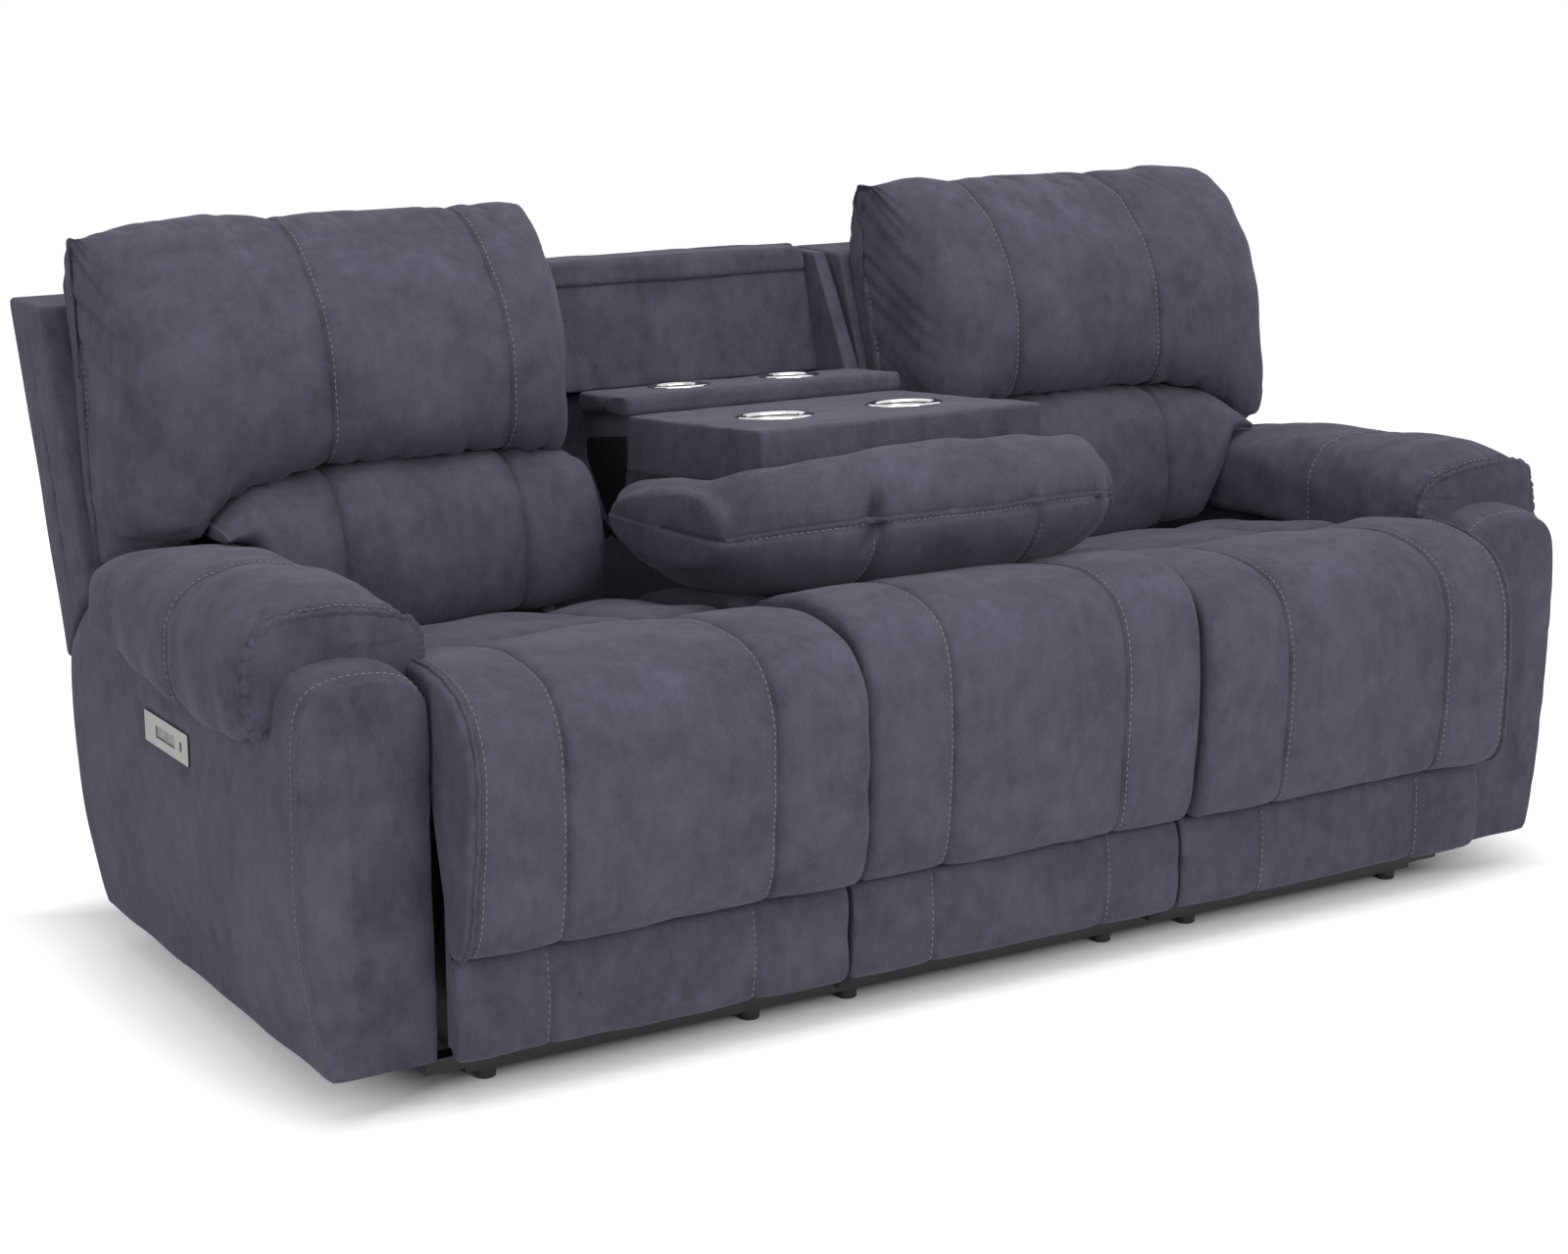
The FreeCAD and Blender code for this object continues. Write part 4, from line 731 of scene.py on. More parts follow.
# End seats. The seat cushion stays on its springs. The chaise pad runs from
# the lower edge of the footrest over the crown to the tufted seam across the
# seat. A plain panel of the same cover bridges the gap that opens behind it.
SPLIT, SEAT_EDGE = 0.2895, 0.8795
END_SEAMS = (0.436, 0.745)
EDGE_SEAM = 0.8665
CHAISE = np.array([
    (-0.082, 0.240), (-0.100, 0.2135), (-0.128, 0.2165), (-0.146, 0.242), (-0.153, 0.290),
    (-0.157, 0.350), (-0.158, 0.415), (-0.153, 0.470), (-0.137, 0.514), (-0.108, 0.544),
    (-0.066, 0.560), (-0.018, 0.567), (0.030, 0.567), (0.080, 0.561), (0.130, 0.551),
    (0.170, 0.539), (0.187, 0.524), (0.178, 0.511), (0.130, 0.511), (0.085, 0.512),
    (0.068, 0.500), (0.060, 0.485), (0.010, 0.4835), (-0.045, 0.4835), (-0.078, 0.462),
    (-0.082, 0.400), (-0.082, 0.320)])
SEAT = np.array([
    (0.197, 0.512), (0.214, 0.524), (0.262, 0.523), (0.330, 0.512), (0.400, 0.500),
    (0.462, 0.490), (0.512, 0.481), (0.538, 0.464), (0.545, 0.430), (0.545, 0.385),
    (0.525, 0.363), (0.440, 0.362), (0.340, 0.362), (0.240, 0.362), (0.150, 0.362),
    (0.095, 0.364), (0.078, 0.390), (0.077, 0.440), (0.080, 0.488), (0.110, 0.503),
    (0.150, 0.503), (0.184, 0.503)])


def seat_rows(knots, x0, x1, seams, rounding, bulge, step):
    """Sweeps a side view along the seat, with rounded ends."""
    x = stations(x0 + rounding[0], x1 - rounding[1], seams, step)
    flat = ring_through(np.repeat(knots[None], len(x), axis=0), step)
    return with_ends(swept(x, flat), 0, rounding, bulge)


def station_of(rows, place):
    """Fractional station at which the form's width has a given value."""
    x = rows[:, 0, 0]
    way = np.sign(x[-1] - x[0])
    inside = way * x[END:-END]
    return END + np.interp(way * place, inside, np.arange(len(inside)))


def seam_rows(key, rows, seams, start, stop, offset, number=260):
    """Topstitch beside each seam, between two points of the side view."""
    first, last = ring_place(rows, *start), ring_place(rows, *stop)
    if last < first:
        last += rows.shape[1]
    for seam in seams:
        topstitch(key, rows, station_of(rows, seam + np.sign(seam) * offset),
                  np.linspace(first, last, number))


for side, name in ((1, "right"), (-1, "left")):
    carriage, footrest = "footrest_carriage_" + name, "footrest_" + name
    edges = (SPLIT, *END_SEAMS, SEAT_EDGE)
    seams = [side * seam for seam in END_SEAMS]

    rows = seat_rows(CHAISE, SPLIT, SEAT_EDGE, END_SEAMS, (0.016, 0.010), (0.003, 0.002), 0.0054)
    x, y, z = rows[..., 0].copy(), rows[..., 1], rows[..., 2]
    shown = (z > 0.505) | (y < -0.10)
    rows[..., 0] += 0.012 * ramp(x, 0.80, 0.88) * ramp(y, -0.075, -0.115) * ramp(z, 0.45, 0.23)
    to_tuft, to_hem = (np.abs(length_from(rows, *spot)) for spot in ((0.183, 0.530), (-0.118, 0.2135)))
    puff = crown(x, edges, 0.0045) * np.clip(to_hem / 0.06, 0.2, 1) * np.clip(to_tuft / 0.05, 0.2, 1)
    puff += valley(x, END_SEAMS, 0.0040, 0.0055)
    puff += unevenness(rows, 0.26, 0.0016, 51 + side)
    puff += gathers(x, to_tuft, SPLIT, SEAT_EDGE, 0.060, 0.0060, 0.050, 53 + side)
    puff += gathers(x, to_hem, SPLIT, SEAT_EDGE, 0.085, 0.0012, 0.030, 55 + side)
    puff += sum(valley(np.hypot(x - seam, to_tuft), (0,), 0.007, 0.022) for seam in END_SEAMS)
    puff += valley(x, (EDGE_SEAM,), 0.0022, 0.004)
    puff *= shown
    # Painted light and shade after the swell, and painted shade along the seams.
    chaise = covered("chaise_pad_" + name, None, ["footrest_pad_" + name, "chaise_roll_" + name], rows, puff,
                     puff * 22 + valley(x, (*END_SEAMS, EDGE_SEAM), *SEAM_SHADE), side)
    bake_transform(chaise)
    seam_rows(footrest, rows, seams, (-0.128, 0.2165), (0.160, 0.543), 0.0062)
    seam_rows(footrest, rows, [side * EDGE_SEAM], (-0.128, 0.2165), (0.02, 0.567), -0.0066)
    hem, crest = ring_place(rows, -0.100, 0.2135), ring_place(rows, 0.05, 0.565)
    piping = welt("chaise_welt_" + name, None, rows, station_of(rows, side * (EDGE_SEAM + 0.004)),
                  np.linspace(hem, crest, 160), 0.0034, 0.0024, 0.0012)
    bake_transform(piping)

    rows = seat_rows(SEAT, SPLIT, SEAT_EDGE - 0.006, END_SEAMS, (0.018, 0.012), (0.003, 0.003), 0.0062)
    x, y, z = rows[..., 0].copy(), rows[..., 1], rows[..., 2]
    to_tuft = np.abs(length_from(rows, 0.197, 0.515))
    puff = crown(x, edges, 0.007) * ramp(to_tuft, 0, 0.05)
    puff += valley(x, END_SEAMS, 0.0045, 0.007)
    puff += unevenness(rows, 0.2, 0.0020, 61 + side)
    puff += gathers(x, to_tuft, SPLIT, SEAT_EDGE, 0.065, 0.0070, 0.060, 63 + side)
    puff += sum(valley(np.hypot(x - seam, to_tuft), (0,), 0.007, 0.025) for seam in END_SEAMS)
    puff *= (z > 0.45) & (y > 0.19)
    # Painted light and shade after the swell.
    covered("seat_cover_" + name, "root", ["seat_cushion_" + name], rows, puff, puff * 20, side)
    seam_rows("root", rows, seams, (0.214, 0.524), (0.512, 0.481), 0.0062)

    across = np.linspace(SPLIT + 0.012, SEAT_EDGE - 0.016, 60)
    depth = np.linspace(0.215, 0.040, 40)
    sag = 0.505 + 0.035 * ramp(depth, 0.215, 0.155) ** 2
    strip = np.stack(np.broadcast_arrays(across[:, None] * side, depth[None], sag[None]), -1)
    under = strip - (0, 0, 0.006)
    bridge = closed_form("bridge_panel_" + name, np.concatenate([strip, under[:, ::-1]], axis=1))
    finished(bridge, None, [])
    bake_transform(bridge)


# Middle seat. One fixed cushion, a little fuller than its neighbours, sewn in
# three panels from the hem over the crown to the back, on its hardwood box.
MIDDLE_SEAMS = (-0.147, 0.147)
MIDDLE_EDGE = 0.2835
MIDDLE = np.array([
    (-0.082, 0.236), (-0.098, 0.2125), (-0.120, 0.2155), (-0.135, 0.246), (-0.141, 0.305),
    (-0.144, 0.375), (-0.143, 0.445), (-0.135, 0.505), (-0.113, 0.549), (-0.072, 0.573),
    (-0.018, 0.583), (0.045, 0.580), (0.105, 0.568), (0.155, 0.554), (0.192, 0.540),
    (0.235, 0.539), (0.300, 0.531), (0.370, 0.518), (0.440, 0.504), (0.500, 0.490),
    (0.535, 0.470), (0.545, 0.430), (0.545, 0.385), (0.525, 0.363), (0.430, 0.362),
    (0.320, 0.362), (0.220, 0.362), (0.125, 0.363), (0.083, 0.385), (0.070, 0.440),
    (0.045, 0.480), (-0.010, 0.4815), (-0.060, 0.478), (-0.081, 0.450), (-0.082, 0.380),
    (-0.082, 0.305)])
rows = seat_rows(MIDDLE, -MIDDLE_EDGE, MIDDLE_EDGE, MIDDLE_SEAMS, (0.016, 0.016), (0.003, 0.003), 0.0056)
x, y, z = rows[..., 0].copy(), rows[..., 1], rows[..., 2]
to_tuft, to_hem = (np.abs(length_from(rows, *spot)) for spot in ((0.192, 0.540), (-0.109, 0.2125)))
puff = crown(x, (-MIDDLE_EDGE, *MIDDLE_SEAMS, MIDDLE_EDGE), 0.0045) * np.clip(to_hem / 0.06, 0.2, 1)
puff += valley(x, MIDDLE_SEAMS, 0.0040, 0.0055)
puff += unevenness(rows, 0.26, 0.0018, 71)
puff += valley(to_tuft, (0,), 0.010, 0.014)
puff += gathers(x, to_tuft, -MIDDLE_EDGE, MIDDLE_EDGE, 0.060, 0.0065, 0.055, 73)
puff += gathers(x, to_hem, -MIDDLE_EDGE, MIDDLE_EDGE, 0.085, 0.0012, 0.030, 75)
puff *= (z > 0.49) | (y < -0.10)
# Painted light and shade after the swell, and painted shade along the seams.
covered("middle_seat_cover", "root", ["front_pad_centre", "seat_cushion_centre"], rows, puff,
        puff * 22 + valley(x, MIDDLE_SEAMS, *SEAM_SHADE))
seam_rows("root", rows, MIDDLE_SEAMS, (-0.120, 0.2155), (0.512, 0.486), 0.0062)


# Kick panels. A thin padded panel below each seat front, sewn at the same
# places as the pad above it. The end ones are on the footrest boards.
KICK = np.array([
    (-0.0815, 0.074), (-0.090, 0.066), (-0.099, 0.076), (-0.1035, 0.100), (-0.105, 0.130),
    (-0.104, 0.160), (-0.101, 0.185), (-0.096, 0.202), (-0.087, 0.2075), (-0.0815, 0.200),
    (-0.081, 0.160), (-0.081, 0.115)])
END_KICK = (SPLIT, SEAT_EDGE, END_SEAMS)
KICKS = (
    ("right", "footrest_right", 1, *END_KICK),
    ("left", "footrest_left", -1, *END_KICK),
    ("centre", "root", 1, -MIDDLE_EDGE, MIDDLE_EDGE, MIDDLE_SEAMS),
)
for number, (name, body, side, x0, x1, seams) in enumerate(KICKS):
    rows = seat_rows(KICK, x0, x1, seams, (0.010, 0.010), (0.001, 0.001), 0.0068)
    x, y = rows[..., 0], rows[..., 1]
    puff = crown(x, (x0, *seams, x1), 0.0025) + valley(x, seams, 0.0030, 0.0055)
    puff += unevenness(rows, 0.2, 0.0010, 81 + number)
    puff *= y < -0.088
    # Painted light and shade after the swell.
    covered("kick_cover_" + name, body, ["lower_panel_" + name], rows, puff, puff * 20, side)
    seam_rows("kick_" + name, rows, [side * seam for seam in seams], (-0.096, 0.073), (-0.094, 0.204), 0.0058)


# Backs. Each end back is an upholstered box on the recline tube, with a wing
# over the arm whose underside follows the rounded shoulder. Its outer side
# has a seam near the rear edge.
BACK_LEAN = 0.36
BACK_TOP_Z, BACK_TOP_Y = 0.940, 1.005
BACK_DEPTH = 0.145


def behind(z):
    """Rear face of an end back at height z."""
    return BACK_TOP_Y + BACK_LEAN * (z - BACK_TOP_Z)


def box_ring(corners, radius, step):
    """Closed rings round corners[station, corner, 2]: straight sides and a
    parabola of the given size at each corner."""
    before = np.roll(corners, 1, axis=1) - corners
    after = np.roll(corners, -1, axis=1) - corners
    size_before = np.linalg.norm(before, axis=2, keepdims=True)
    size_after = np.linalg.norm(after, axis=2, keepdims=True)
    near = corners + before / size_before * np.minimum(radius, size_before * 0.45)
    far = corners + after / size_after * np.minimum(radius, size_after * 0.45)
    t = np.linspace(0, 1, 6)[None, :, None]
    middle = len(corners) // 2
    pieces = []
    for k in range(corners.shape[1]):
        a, b, c = near[:, k, None], corners[:, k, None], far[:, k, None]
        pieces.append(a * (1 - t) ** 2 + 2 * b * t * (1 - t) + c * t**2)
        following = near[:, (k + 1) % corners.shape[1], None]
        length = np.linalg.norm(following[middle] - far[middle, k])
        count = max(3, int(round(length / step)))
        s = np.linspace(0, 1, count + 1)[None, 1:-1, None]
        pieces.append(c * (1 - s) + following * s)
    return np.concatenate(pieces, axis=1)


def around_hinge(radius, degrees):
    """Point of the side view on a circle about the recline axis."""
    a = math.radians(degrees)
    return (RECLINE_Y + radius * math.cos(a), RECLINE_Z + radius * math.sin(a))


WING_R = 0.222
BACK_IN, BACK_EDGE = 0.305, 1.061
ARM_LINE = 0.8825
low = [(behind(0.46) - BACK_DEPTH, 0.46), (behind(0.44) - 0.1, 0.425), (behind(0.41) - 0.05, 0.408),
       (behind(0.402), 0.400)]
wing = [around_hinge(WING_R, 60.0), around_hinge(WING_R, 45.0), around_hinge(WING_R, 32.0),
        (behind(0.428), 0.428)]
lid = [(BACK_TOP_Y, BACK_TOP_Z), (behind(BACK_TOP_Z) - BACK_DEPTH, BACK_TOP_Z)]
for side, name in ((1, "right"), (-1, "left")):
    x = np.concatenate([stations(BACK_IN + 0.006, ARM_LINE - 0.002, (), 0.022),
                        stations(ARM_LINE + 0.002, BACK_EDGE - 0.007, (), 0.012)])
    winged = ramp(x, ARM_LINE - 0.002, ARM_LINE + 0.002)[:, None, None]
    corners = np.array(low + lid) * (1 - winged) + np.array(wing + lid) * winged
    flat = box_ring(corners, 0.007, 0.013)
    rows = with_ends(swept(x, flat), 0, (0.006, 0.007), (0.001, 0.003), rings=4, inner=14)
    x, y, z = rows[..., 0], rows[..., 1], rows[..., 2]
    rear = ramp(y, behind(z) - 0.02, behind(z))
    panel = np.sin(np.pi * ramp(x, BACK_IN, BACK_EDGE)) ** 0.6
    puff = 0.006 * rear * panel * np.sin(np.pi * ramp(z, 0.40, 0.94)) ** 0.6
    puff += unevenness(rows, 0.3, 0.0008, 91 + side)
    puff += valley(y - behind(z), (-0.075,), 0.0030, 0.004) * (x > BACK_EDGE - 0.004)
    front = y < behind(z) - BACK_DEPTH + 0.012
    # Painted light and shade after the swell, darker in the seam near the rear edge.
    covered("back_cover_" + name, "back_" + name, ["back_shell_" + name], rows, puff * ~front,
            puff * 20, side)


# Pillows and lumbar pads. Blown fibre in a sewn case, two long seams each and
# a boxed outer side with a topstitched edge. The lumbar pad sits under the
# pillow's arched crease and reaches over the arm pad.
PILLOW_SEAMS = (0.460, 0.745)
PILLOW_IN, PILLOW_EDGE = 0.323, 1.022
PILLOW_MIDDLE, PILLOW_HALF = (PILLOW_IN + PILLOW_EDGE) / 2, (PILLOW_EDGE - PILLOW_IN) / 2
PULL_X, PULL_Z = 0.915, 0.66
LUMBAR_IN, LUMBAR_EDGE = 0.329, 0.924
ARCH_END, ARCH_TURN, ARCH_RISE, PAD_LEVEL = 0.928, 0.56, 0.088, 0.634


def crease(x):
    """The arch between pillow and lumbar pad: a parabola towards the middle
    of the sofa and a quarter of a squarish oval down to the arm pad."""
    oval = np.sqrt(1 - ramp(x, ARCH_TURN, ARCH_END) ** 4)
    outer = PAD_LEVEL + ARCH_RISE * oval
    inner = PAD_LEVEL + ARCH_RISE - 0.022 * ((ARCH_TURN - x) / 0.23) ** 2
    return np.where(x > ARCH_TURN, outer, inner)


def rest(z):
    """Front plane of the back box, just behind a cushion."""
    return behind(z) - BACK_DEPTH - 0.003


def pillow_knots(x):
    """Side view of the pillow at each x: it droops over the arched crease,
    rounds over the top and thins to its sewn outer and inner edges."""
    front_low = np.where(x < ARCH_END, crease(x), PAD_LEVEL)
    t = ramp(x, 0.86, 0.95)
    dropped = t * t * (3 - 2 * t)
    rear_low = crease(np.minimum(x, 0.90)) * (1 - dropped) + 0.584 * dropped
    shape = [
        (rest(rear_low + 0.03), rear_low + 0.030), (0.700, rear_low + 0.004),
        (0.640, (rear_low + front_low) / 2 + 0.001), (0.600, front_low + 0.001), (0.575, front_low + 0.008),
        (0.557, front_low + 0.032), (0.546, front_low + (0.86 - front_low) * 0.5), (0.550, 0.860),
        (0.563, 0.905), (0.588, 0.952), (0.621, 0.992), (0.658, 1.024), (0.704, 1.049), (0.752, 1.061),
        (0.800, 1.054), (0.832, 1.028), (0.846, 0.990), (0.856, 0.955), (rest(0.88), 0.880),
        (rest(0.80), 0.800), (rest((0.80 + rear_low) / 2), (0.80 + rear_low) / 2)]
    knots = np.stack([np.stack(np.broadcast_arrays(*knot, x)[:2], -1) for knot in shape], axis=1)
    y, z = knots[..., 0], knots[..., 1]
    edge = np.minimum(rest(z), eased(z.ravel(), [0.90, 0.95, 0.99, 1.03, 1.07],
                                     [0.848, 0.851, 0.848, 0.842, 0.832]).reshape(z.shape))
    u = np.minimum(np.abs(x - PILLOW_MIDDLE) / PILLOW_HALF, 1)
    thick = np.maximum((1 - u**5) ** 0.2, 0.13)[:, None]
    drop = 0.020 * ramp(x, 0.93, 1.02) ** 2 + 0.006 * ramp(x, 0.37, 0.32) ** 2
    z = z - drop[:, None] * ramp(z, 0.95, 1.05)
    return np.stack([edge - (edge - y) * thick, z], -1)


def lumbar_knots(x):
    """Side view of the lumbar pad at each x: a share of the height between
    its lower edge, which climbs over the arm pad, and the crease."""
    top = crease(x) - 0.004
    low = eased(x, [0.3, 0.80, 0.835, 0.855, 0.872, 0.90, 0.93],
                [0.490, 0.490, 0.500, 0.555, 0.615, 0.634, 0.636])
    low = np.minimum(low, top - 0.008)
    shape = ((None, 0.95), (0.68, 1.0), (0.625, 1.0), (0.588, 0.985), (0.556, 0.92), (0.532, 0.79),
             (0.517, 0.60), (0.511, 0.38), (0.517, 0.18), (0.536, 0.05), (0.575, 0.0), (0.635, 0.0),
             (None, 0.03), (None, 0.5))
    knots = []
    for y, share in shape:
        z = low + (top - low) * share
        knots.append(np.stack([rest(z) if y is None else np.full_like(x, y), z], -1))
    return np.stack(knots, axis=1)


def side_rows(knots_at, x, rounding, bulge, step):
    """Sweeps a side view that changes across the sofa, with rounded ends."""
    flat = ring_through(knots_at(x), step)
    return with_ends(swept(x, flat), 0, rounding, bulge)


for side, name in ((1, "right"), (-1, "left")):
    back = "back_" + name
    seams = [side * seam for seam in PILLOW_SEAMS]
    turned = PILLOW_HALF * (1 - np.arange(0.12, 0.80, 0.035) ** 5) ** 0.2
    x = stations(PILLOW_MIDDLE - turned[-1], PILLOW_MIDDLE + turned[-1], PILLOW_SEAMS, 0.0060)
    x = np.concatenate([PILLOW_MIDDLE - turned[:-1], x, PILLOW_MIDDLE + turned[-2::-1]])
    rows = side_rows(pillow_knots, x, (0.004, 0.004), (0.002, 0.002), 0.0060)
    x, y, z = rows[..., 0].copy(), rows[..., 1], rows[..., 2]
    to_lip = np.abs(length_from(rows, 0.600, 0.723))
    to_ridge = np.abs(length_from(rows, 0.752, 1.061) + 0.03)
    box_front = behind(z) - BACK_DEPTH - 0.012
    free = np.maximum(ramp(y, box_front, box_front - 0.02), ramp(z, 0.95, 0.97))
    puff = crown(x, (PILLOW_IN, *PILLOW_SEAMS, PILLOW_EDGE), 0.0045)
    puff += valley(x, PILLOW_SEAMS, 0.0038, 0.0055)
    puff += unevenness(rows, 0.24, 0.0022, 101 + side)
    puff += gathers(x, to_lip, PILLOW_IN, PILLOW_EDGE, 0.050, 0.0075, 0.050, 103 + side)
    puff += gathers(x, to_ridge, PILLOW_IN, PILLOW_EDGE, 0.048, 0.0055, 0.050, 105 + side)
    to_corner = np.hypot(x - PULL_X, z - PULL_Z)
    turn = np.arctan2(z - PULL_Z, PULL_X - x)
    rays = np.maximum(np.cos(9.0 * turn + 0.6), 0) ** 3
    puff -= 0.0045 * rays * np.exp(-((to_corner - 0.05) / 0.045) ** 2)
    from_end = np.maximum(np.minimum(PILLOW_EDGE - x, x - PILLOW_IN), 0)
    puff += gathers(round_distance(rows), from_end * 2, 0.1, 1.1, 0.048, 0.0034, 0.040, 107 + side)
    # Painted light and shade: lighter where the case swells, darker in its puckers and along its seams.
    shade = puff * free * 20 + valley(x, PILLOW_SEAMS, *SEAM_SHADE)
    rows += outward(rows) * (puff * free)[..., None]
    rows[..., 0] += 0.016 * ramp(z, 0.88, 0.68) * ramp(x, 0.88, 1.01)
    covered("pillow_" + name, back, ["back_pillow_" + name], rows, np.zeros(x.shape), shade, side)
    seam_rows(back, rows, seams, (0.590, 0.728), (0.750, 1.061), -0.0062)
    for station in (END, len(rows) - END - 1):
        ends = sorted(ring_place(rows, *spot, station) for spot in ((0.73, 0.66), (0.82, 1.02)))
        topstitch(back, rows, station, np.linspace(*ends, 200))

    x = stations(LUMBAR_IN + 0.016, LUMBAR_EDGE - 0.004, (*PILLOW_SEAMS, 0.915), 0.0064)
    rows = side_rows(lumbar_knots, x, (0.016, 0.004), (0.003, 0.002), 0.0064)
    x, y, z = rows[..., 0].copy(), rows[..., 1], rows[..., 2]
    to_lip = np.abs(length_from(rows, 0.600, 0.716))
    box_front = behind(z) - BACK_DEPTH - 0.012
    puff = crown(x, (LUMBAR_IN, *PILLOW_SEAMS, LUMBAR_EDGE), 0.0050)
    puff += valley(x, PILLOW_SEAMS, 0.0040, 0.0055)
    puff += unevenness(rows, 0.22, 0.0020, 111 + side)
    puff += gathers(x, to_lip, LUMBAR_IN, LUMBAR_EDGE, 0.055, 0.0050, 0.040, 113 + side)
    puff *= ramp(y, box_front, box_front - 0.02) * np.clip((0.90 - x) / 0.03, 0.1, 1)
    # Painted light and shade after the swell, and painted shade along the seams.
    covered("lumbar_" + name, back, ["lumbar_pad_" + name], rows, puff,
            puff * 20 + valley(x, PILLOW_SEAMS, *SEAM_SHADE), side)
    seam_rows(back, rows, seams, (0.536, 0.500), (0.600, 0.716), -0.0062)


# Middle back. Upholstered boards: two side walls with a sloping front edge, a
# padded rim on top, the board at the back of the recess and the rear panel,
# which goes down to the base. Low panels close the back of the end seats.
def board(name, body, nodes, corners, x0, x1, radius, swell, step=0.014, seed=1):
    """A covered board: its side view rounded at the corners, swept along X."""
    x = stations(x0 + radius, x1 - radius, (), step)
    flat = box_ring(np.repeat(np.array(corners)[None], len(x), axis=0), radius, step)
    rows = with_ends(swept(x, flat), 0, (radius, radius), (0.001, 0.001), rings=4, inner=5)
    puff = swell * np.sin(np.pi * ramp(rows[..., 0], x0, x1)) ** 0.5
    puff += unevenness(rows, 0.2, 0.0008, seed)
    # Painted light and shade after the swell.
    return covered(name, body, nodes, rows, puff, puff * 20)


WALL_IN, WALL_OUT, RIM_HALF = 0.2685, 0.2945, 0.268
SILL, REAR_BOARD = 0.400, 0.014


def centre_rear(z):
    """Rear face of the middle back, a little steeper than the end backs."""
    return BACK_TOP_Y + (BACK_TOP_Y - 0.880) / (BACK_TOP_Z - SILL) * (z - BACK_TOP_Z)


def rear_inner(z):
    return centre_rear(z) - REAR_BOARD


wall = [(rear_inner(BACK_TOP_Z), 0.941), (rear_inner(SILL), 0.385), (0.800, 0.480), (0.772, 0.744),
        (0.884, 0.941)]
rim = [(0.9000, 0.9085), (0.986, 0.9085), (0.9905, 0.947), (0.9100, 0.949)]
panel = [(0.866, 0.745), (0.881, 0.745), (0.921, 0.911), (0.907, 0.911)]
outer = [(centre_rear(0.056), 0.056), (centre_rear(BACK_TOP_Z), 0.9445), (rear_inner(BACK_TOP_Z), 0.9445),
         (rear_inner(0.056), 0.056)]
low_panel = [(0.764, 0.056), (0.776, 0.056), (0.776, 0.326), (0.764, 0.326)]
BOARDS = (
    ("recess_wall_right", ["centre_back_frame"], wall, WALL_IN, WALL_OUT, 0.006, 0.001, 121),
    ("recess_wall_left", [], wall, -WALL_OUT, -WALL_IN, 0.006, 0.001, 122),
    ("recess_rim", [], rim, -RIM_HALF, RIM_HALF, 0.011, 0.0012, 123),
    ("recess_panel", ["recess_board"], panel, -RIM_HALF, RIM_HALF, 0.005, 0.0014, 124),
    ("outer_back_middle", ["outer_back_panels"], outer, -WALL_OUT, WALL_OUT, 0.005, 0.0025, 125),
    ("outer_back_low_right", [], low_panel, 0.301, 0.881, 0.004, 0.0015, 127),
    ("outer_back_low_left", [], low_panel, -0.881, -0.301, 0.004, 0.0015, 125),
)
for name, nodes, corners, x0, x1, radius, swell, seed in BOARDS:
    board(name, "root", nodes, corners, x0, x1, radius, swell, seed=seed)


# Console. The folded middle back: a covered slab with two chrome-rimmed cups,
# a raised tray with two more behind it, and under them the seat back's own
# cushion, folded face down, whose top edge is the sewn and welted front.
TABLE_FRONT = (0.204, 0.782)
TABLE_TILT = math.radians(4.93)
TABLE_LEN, TABLE_T, TABLE_HALF = 0.4075, 0.085, 0.245
TRAY_FROM, TRAY_LEN, TRAY_RISE, TRAY_HALF = 0.382, 0.163, 0.030, 0.250
TRAY_END = TRAY_FROM + TRAY_LEN
FRONT_CUPS, REAR_CUPS = (0.115, 0.1757, 0.047), (0.102, 0.486, 0.037)


def table_points(along, up):
    """Side view of a point a length along the table's top from its front
    edge and a height above it."""
    return (TABLE_FRONT[0] + along * math.cos(TABLE_TILT) + up * math.sin(TABLE_TILT),
            TABLE_FRONT[1] - along * math.sin(TABLE_TILT) + up * math.cos(TABLE_TILT))


def drilled(thing, place, along, r):
    """Cuts the two holes for a pair of cups out of a covered board."""
    for x in (-place, place):
        bpy.ops.mesh.primitive_cylinder_add(vertices=64, radius=r, depth=0.16)
        cutter = bpy.context.object
        y, z = table_points(along, 0)
        cutter.rotation_euler = (-TABLE_TILT, 0, 0)
        cutter.location = (x, y - GLIDES, z)
        hole = thing.modifiers.new("hole", "BOOLEAN")
        hole.object = cutter
        hole.solver = "EXACT"
        bpy.context.view_layer.update()
        shape = bpy.data.meshes.new_from_object(
            thing.evaluated_get(bpy.context.evaluated_depsgraph_get()))
        thing.modifiers.clear()
        thing.data = shape
        bpy.data.objects.remove(cutter)
    thing.data.shade_smooth()


slab = [table_points(0, 0), table_points(0, -TABLE_T), table_points(TABLE_LEN, -TABLE_T),
        table_points(TABLE_LEN, 0)]
table = board("table_cover", "console", ["console_table"], slab, -TABLE_HALF, TABLE_HALF, 0.006, 0.0016,
              step=0.012, seed=131)
drilled(table, *FRONT_CUPS)
lid = [table_points(TRAY_FROM, TRAY_RISE), table_points(TRAY_FROM, 0.0006),
       table_points(TRAY_END, 0.0006), table_points(TRAY_END, TRAY_RISE)]
core = [table_points(TABLE_LEN + 0.001, 0.002), table_points(TABLE_LEN + 0.001, -TABLE_T),
        table_points(TRAY_END - 0.014, -TABLE_T), table_points(TRAY_END - 0.004, 0.002)]
for name, nodes, outline, half, radius in (("tray_cover", ["console_tray"], lid, TRAY_HALF, 0.010),
                                           ("tray_core_cover", [], core, TABLE_HALF, 0.005)):
    block = board(name, "console", nodes, outline, -half, half, radius, 0.0012, step=0.010, seed=132)
    drilled(block, *REAR_CUPS)

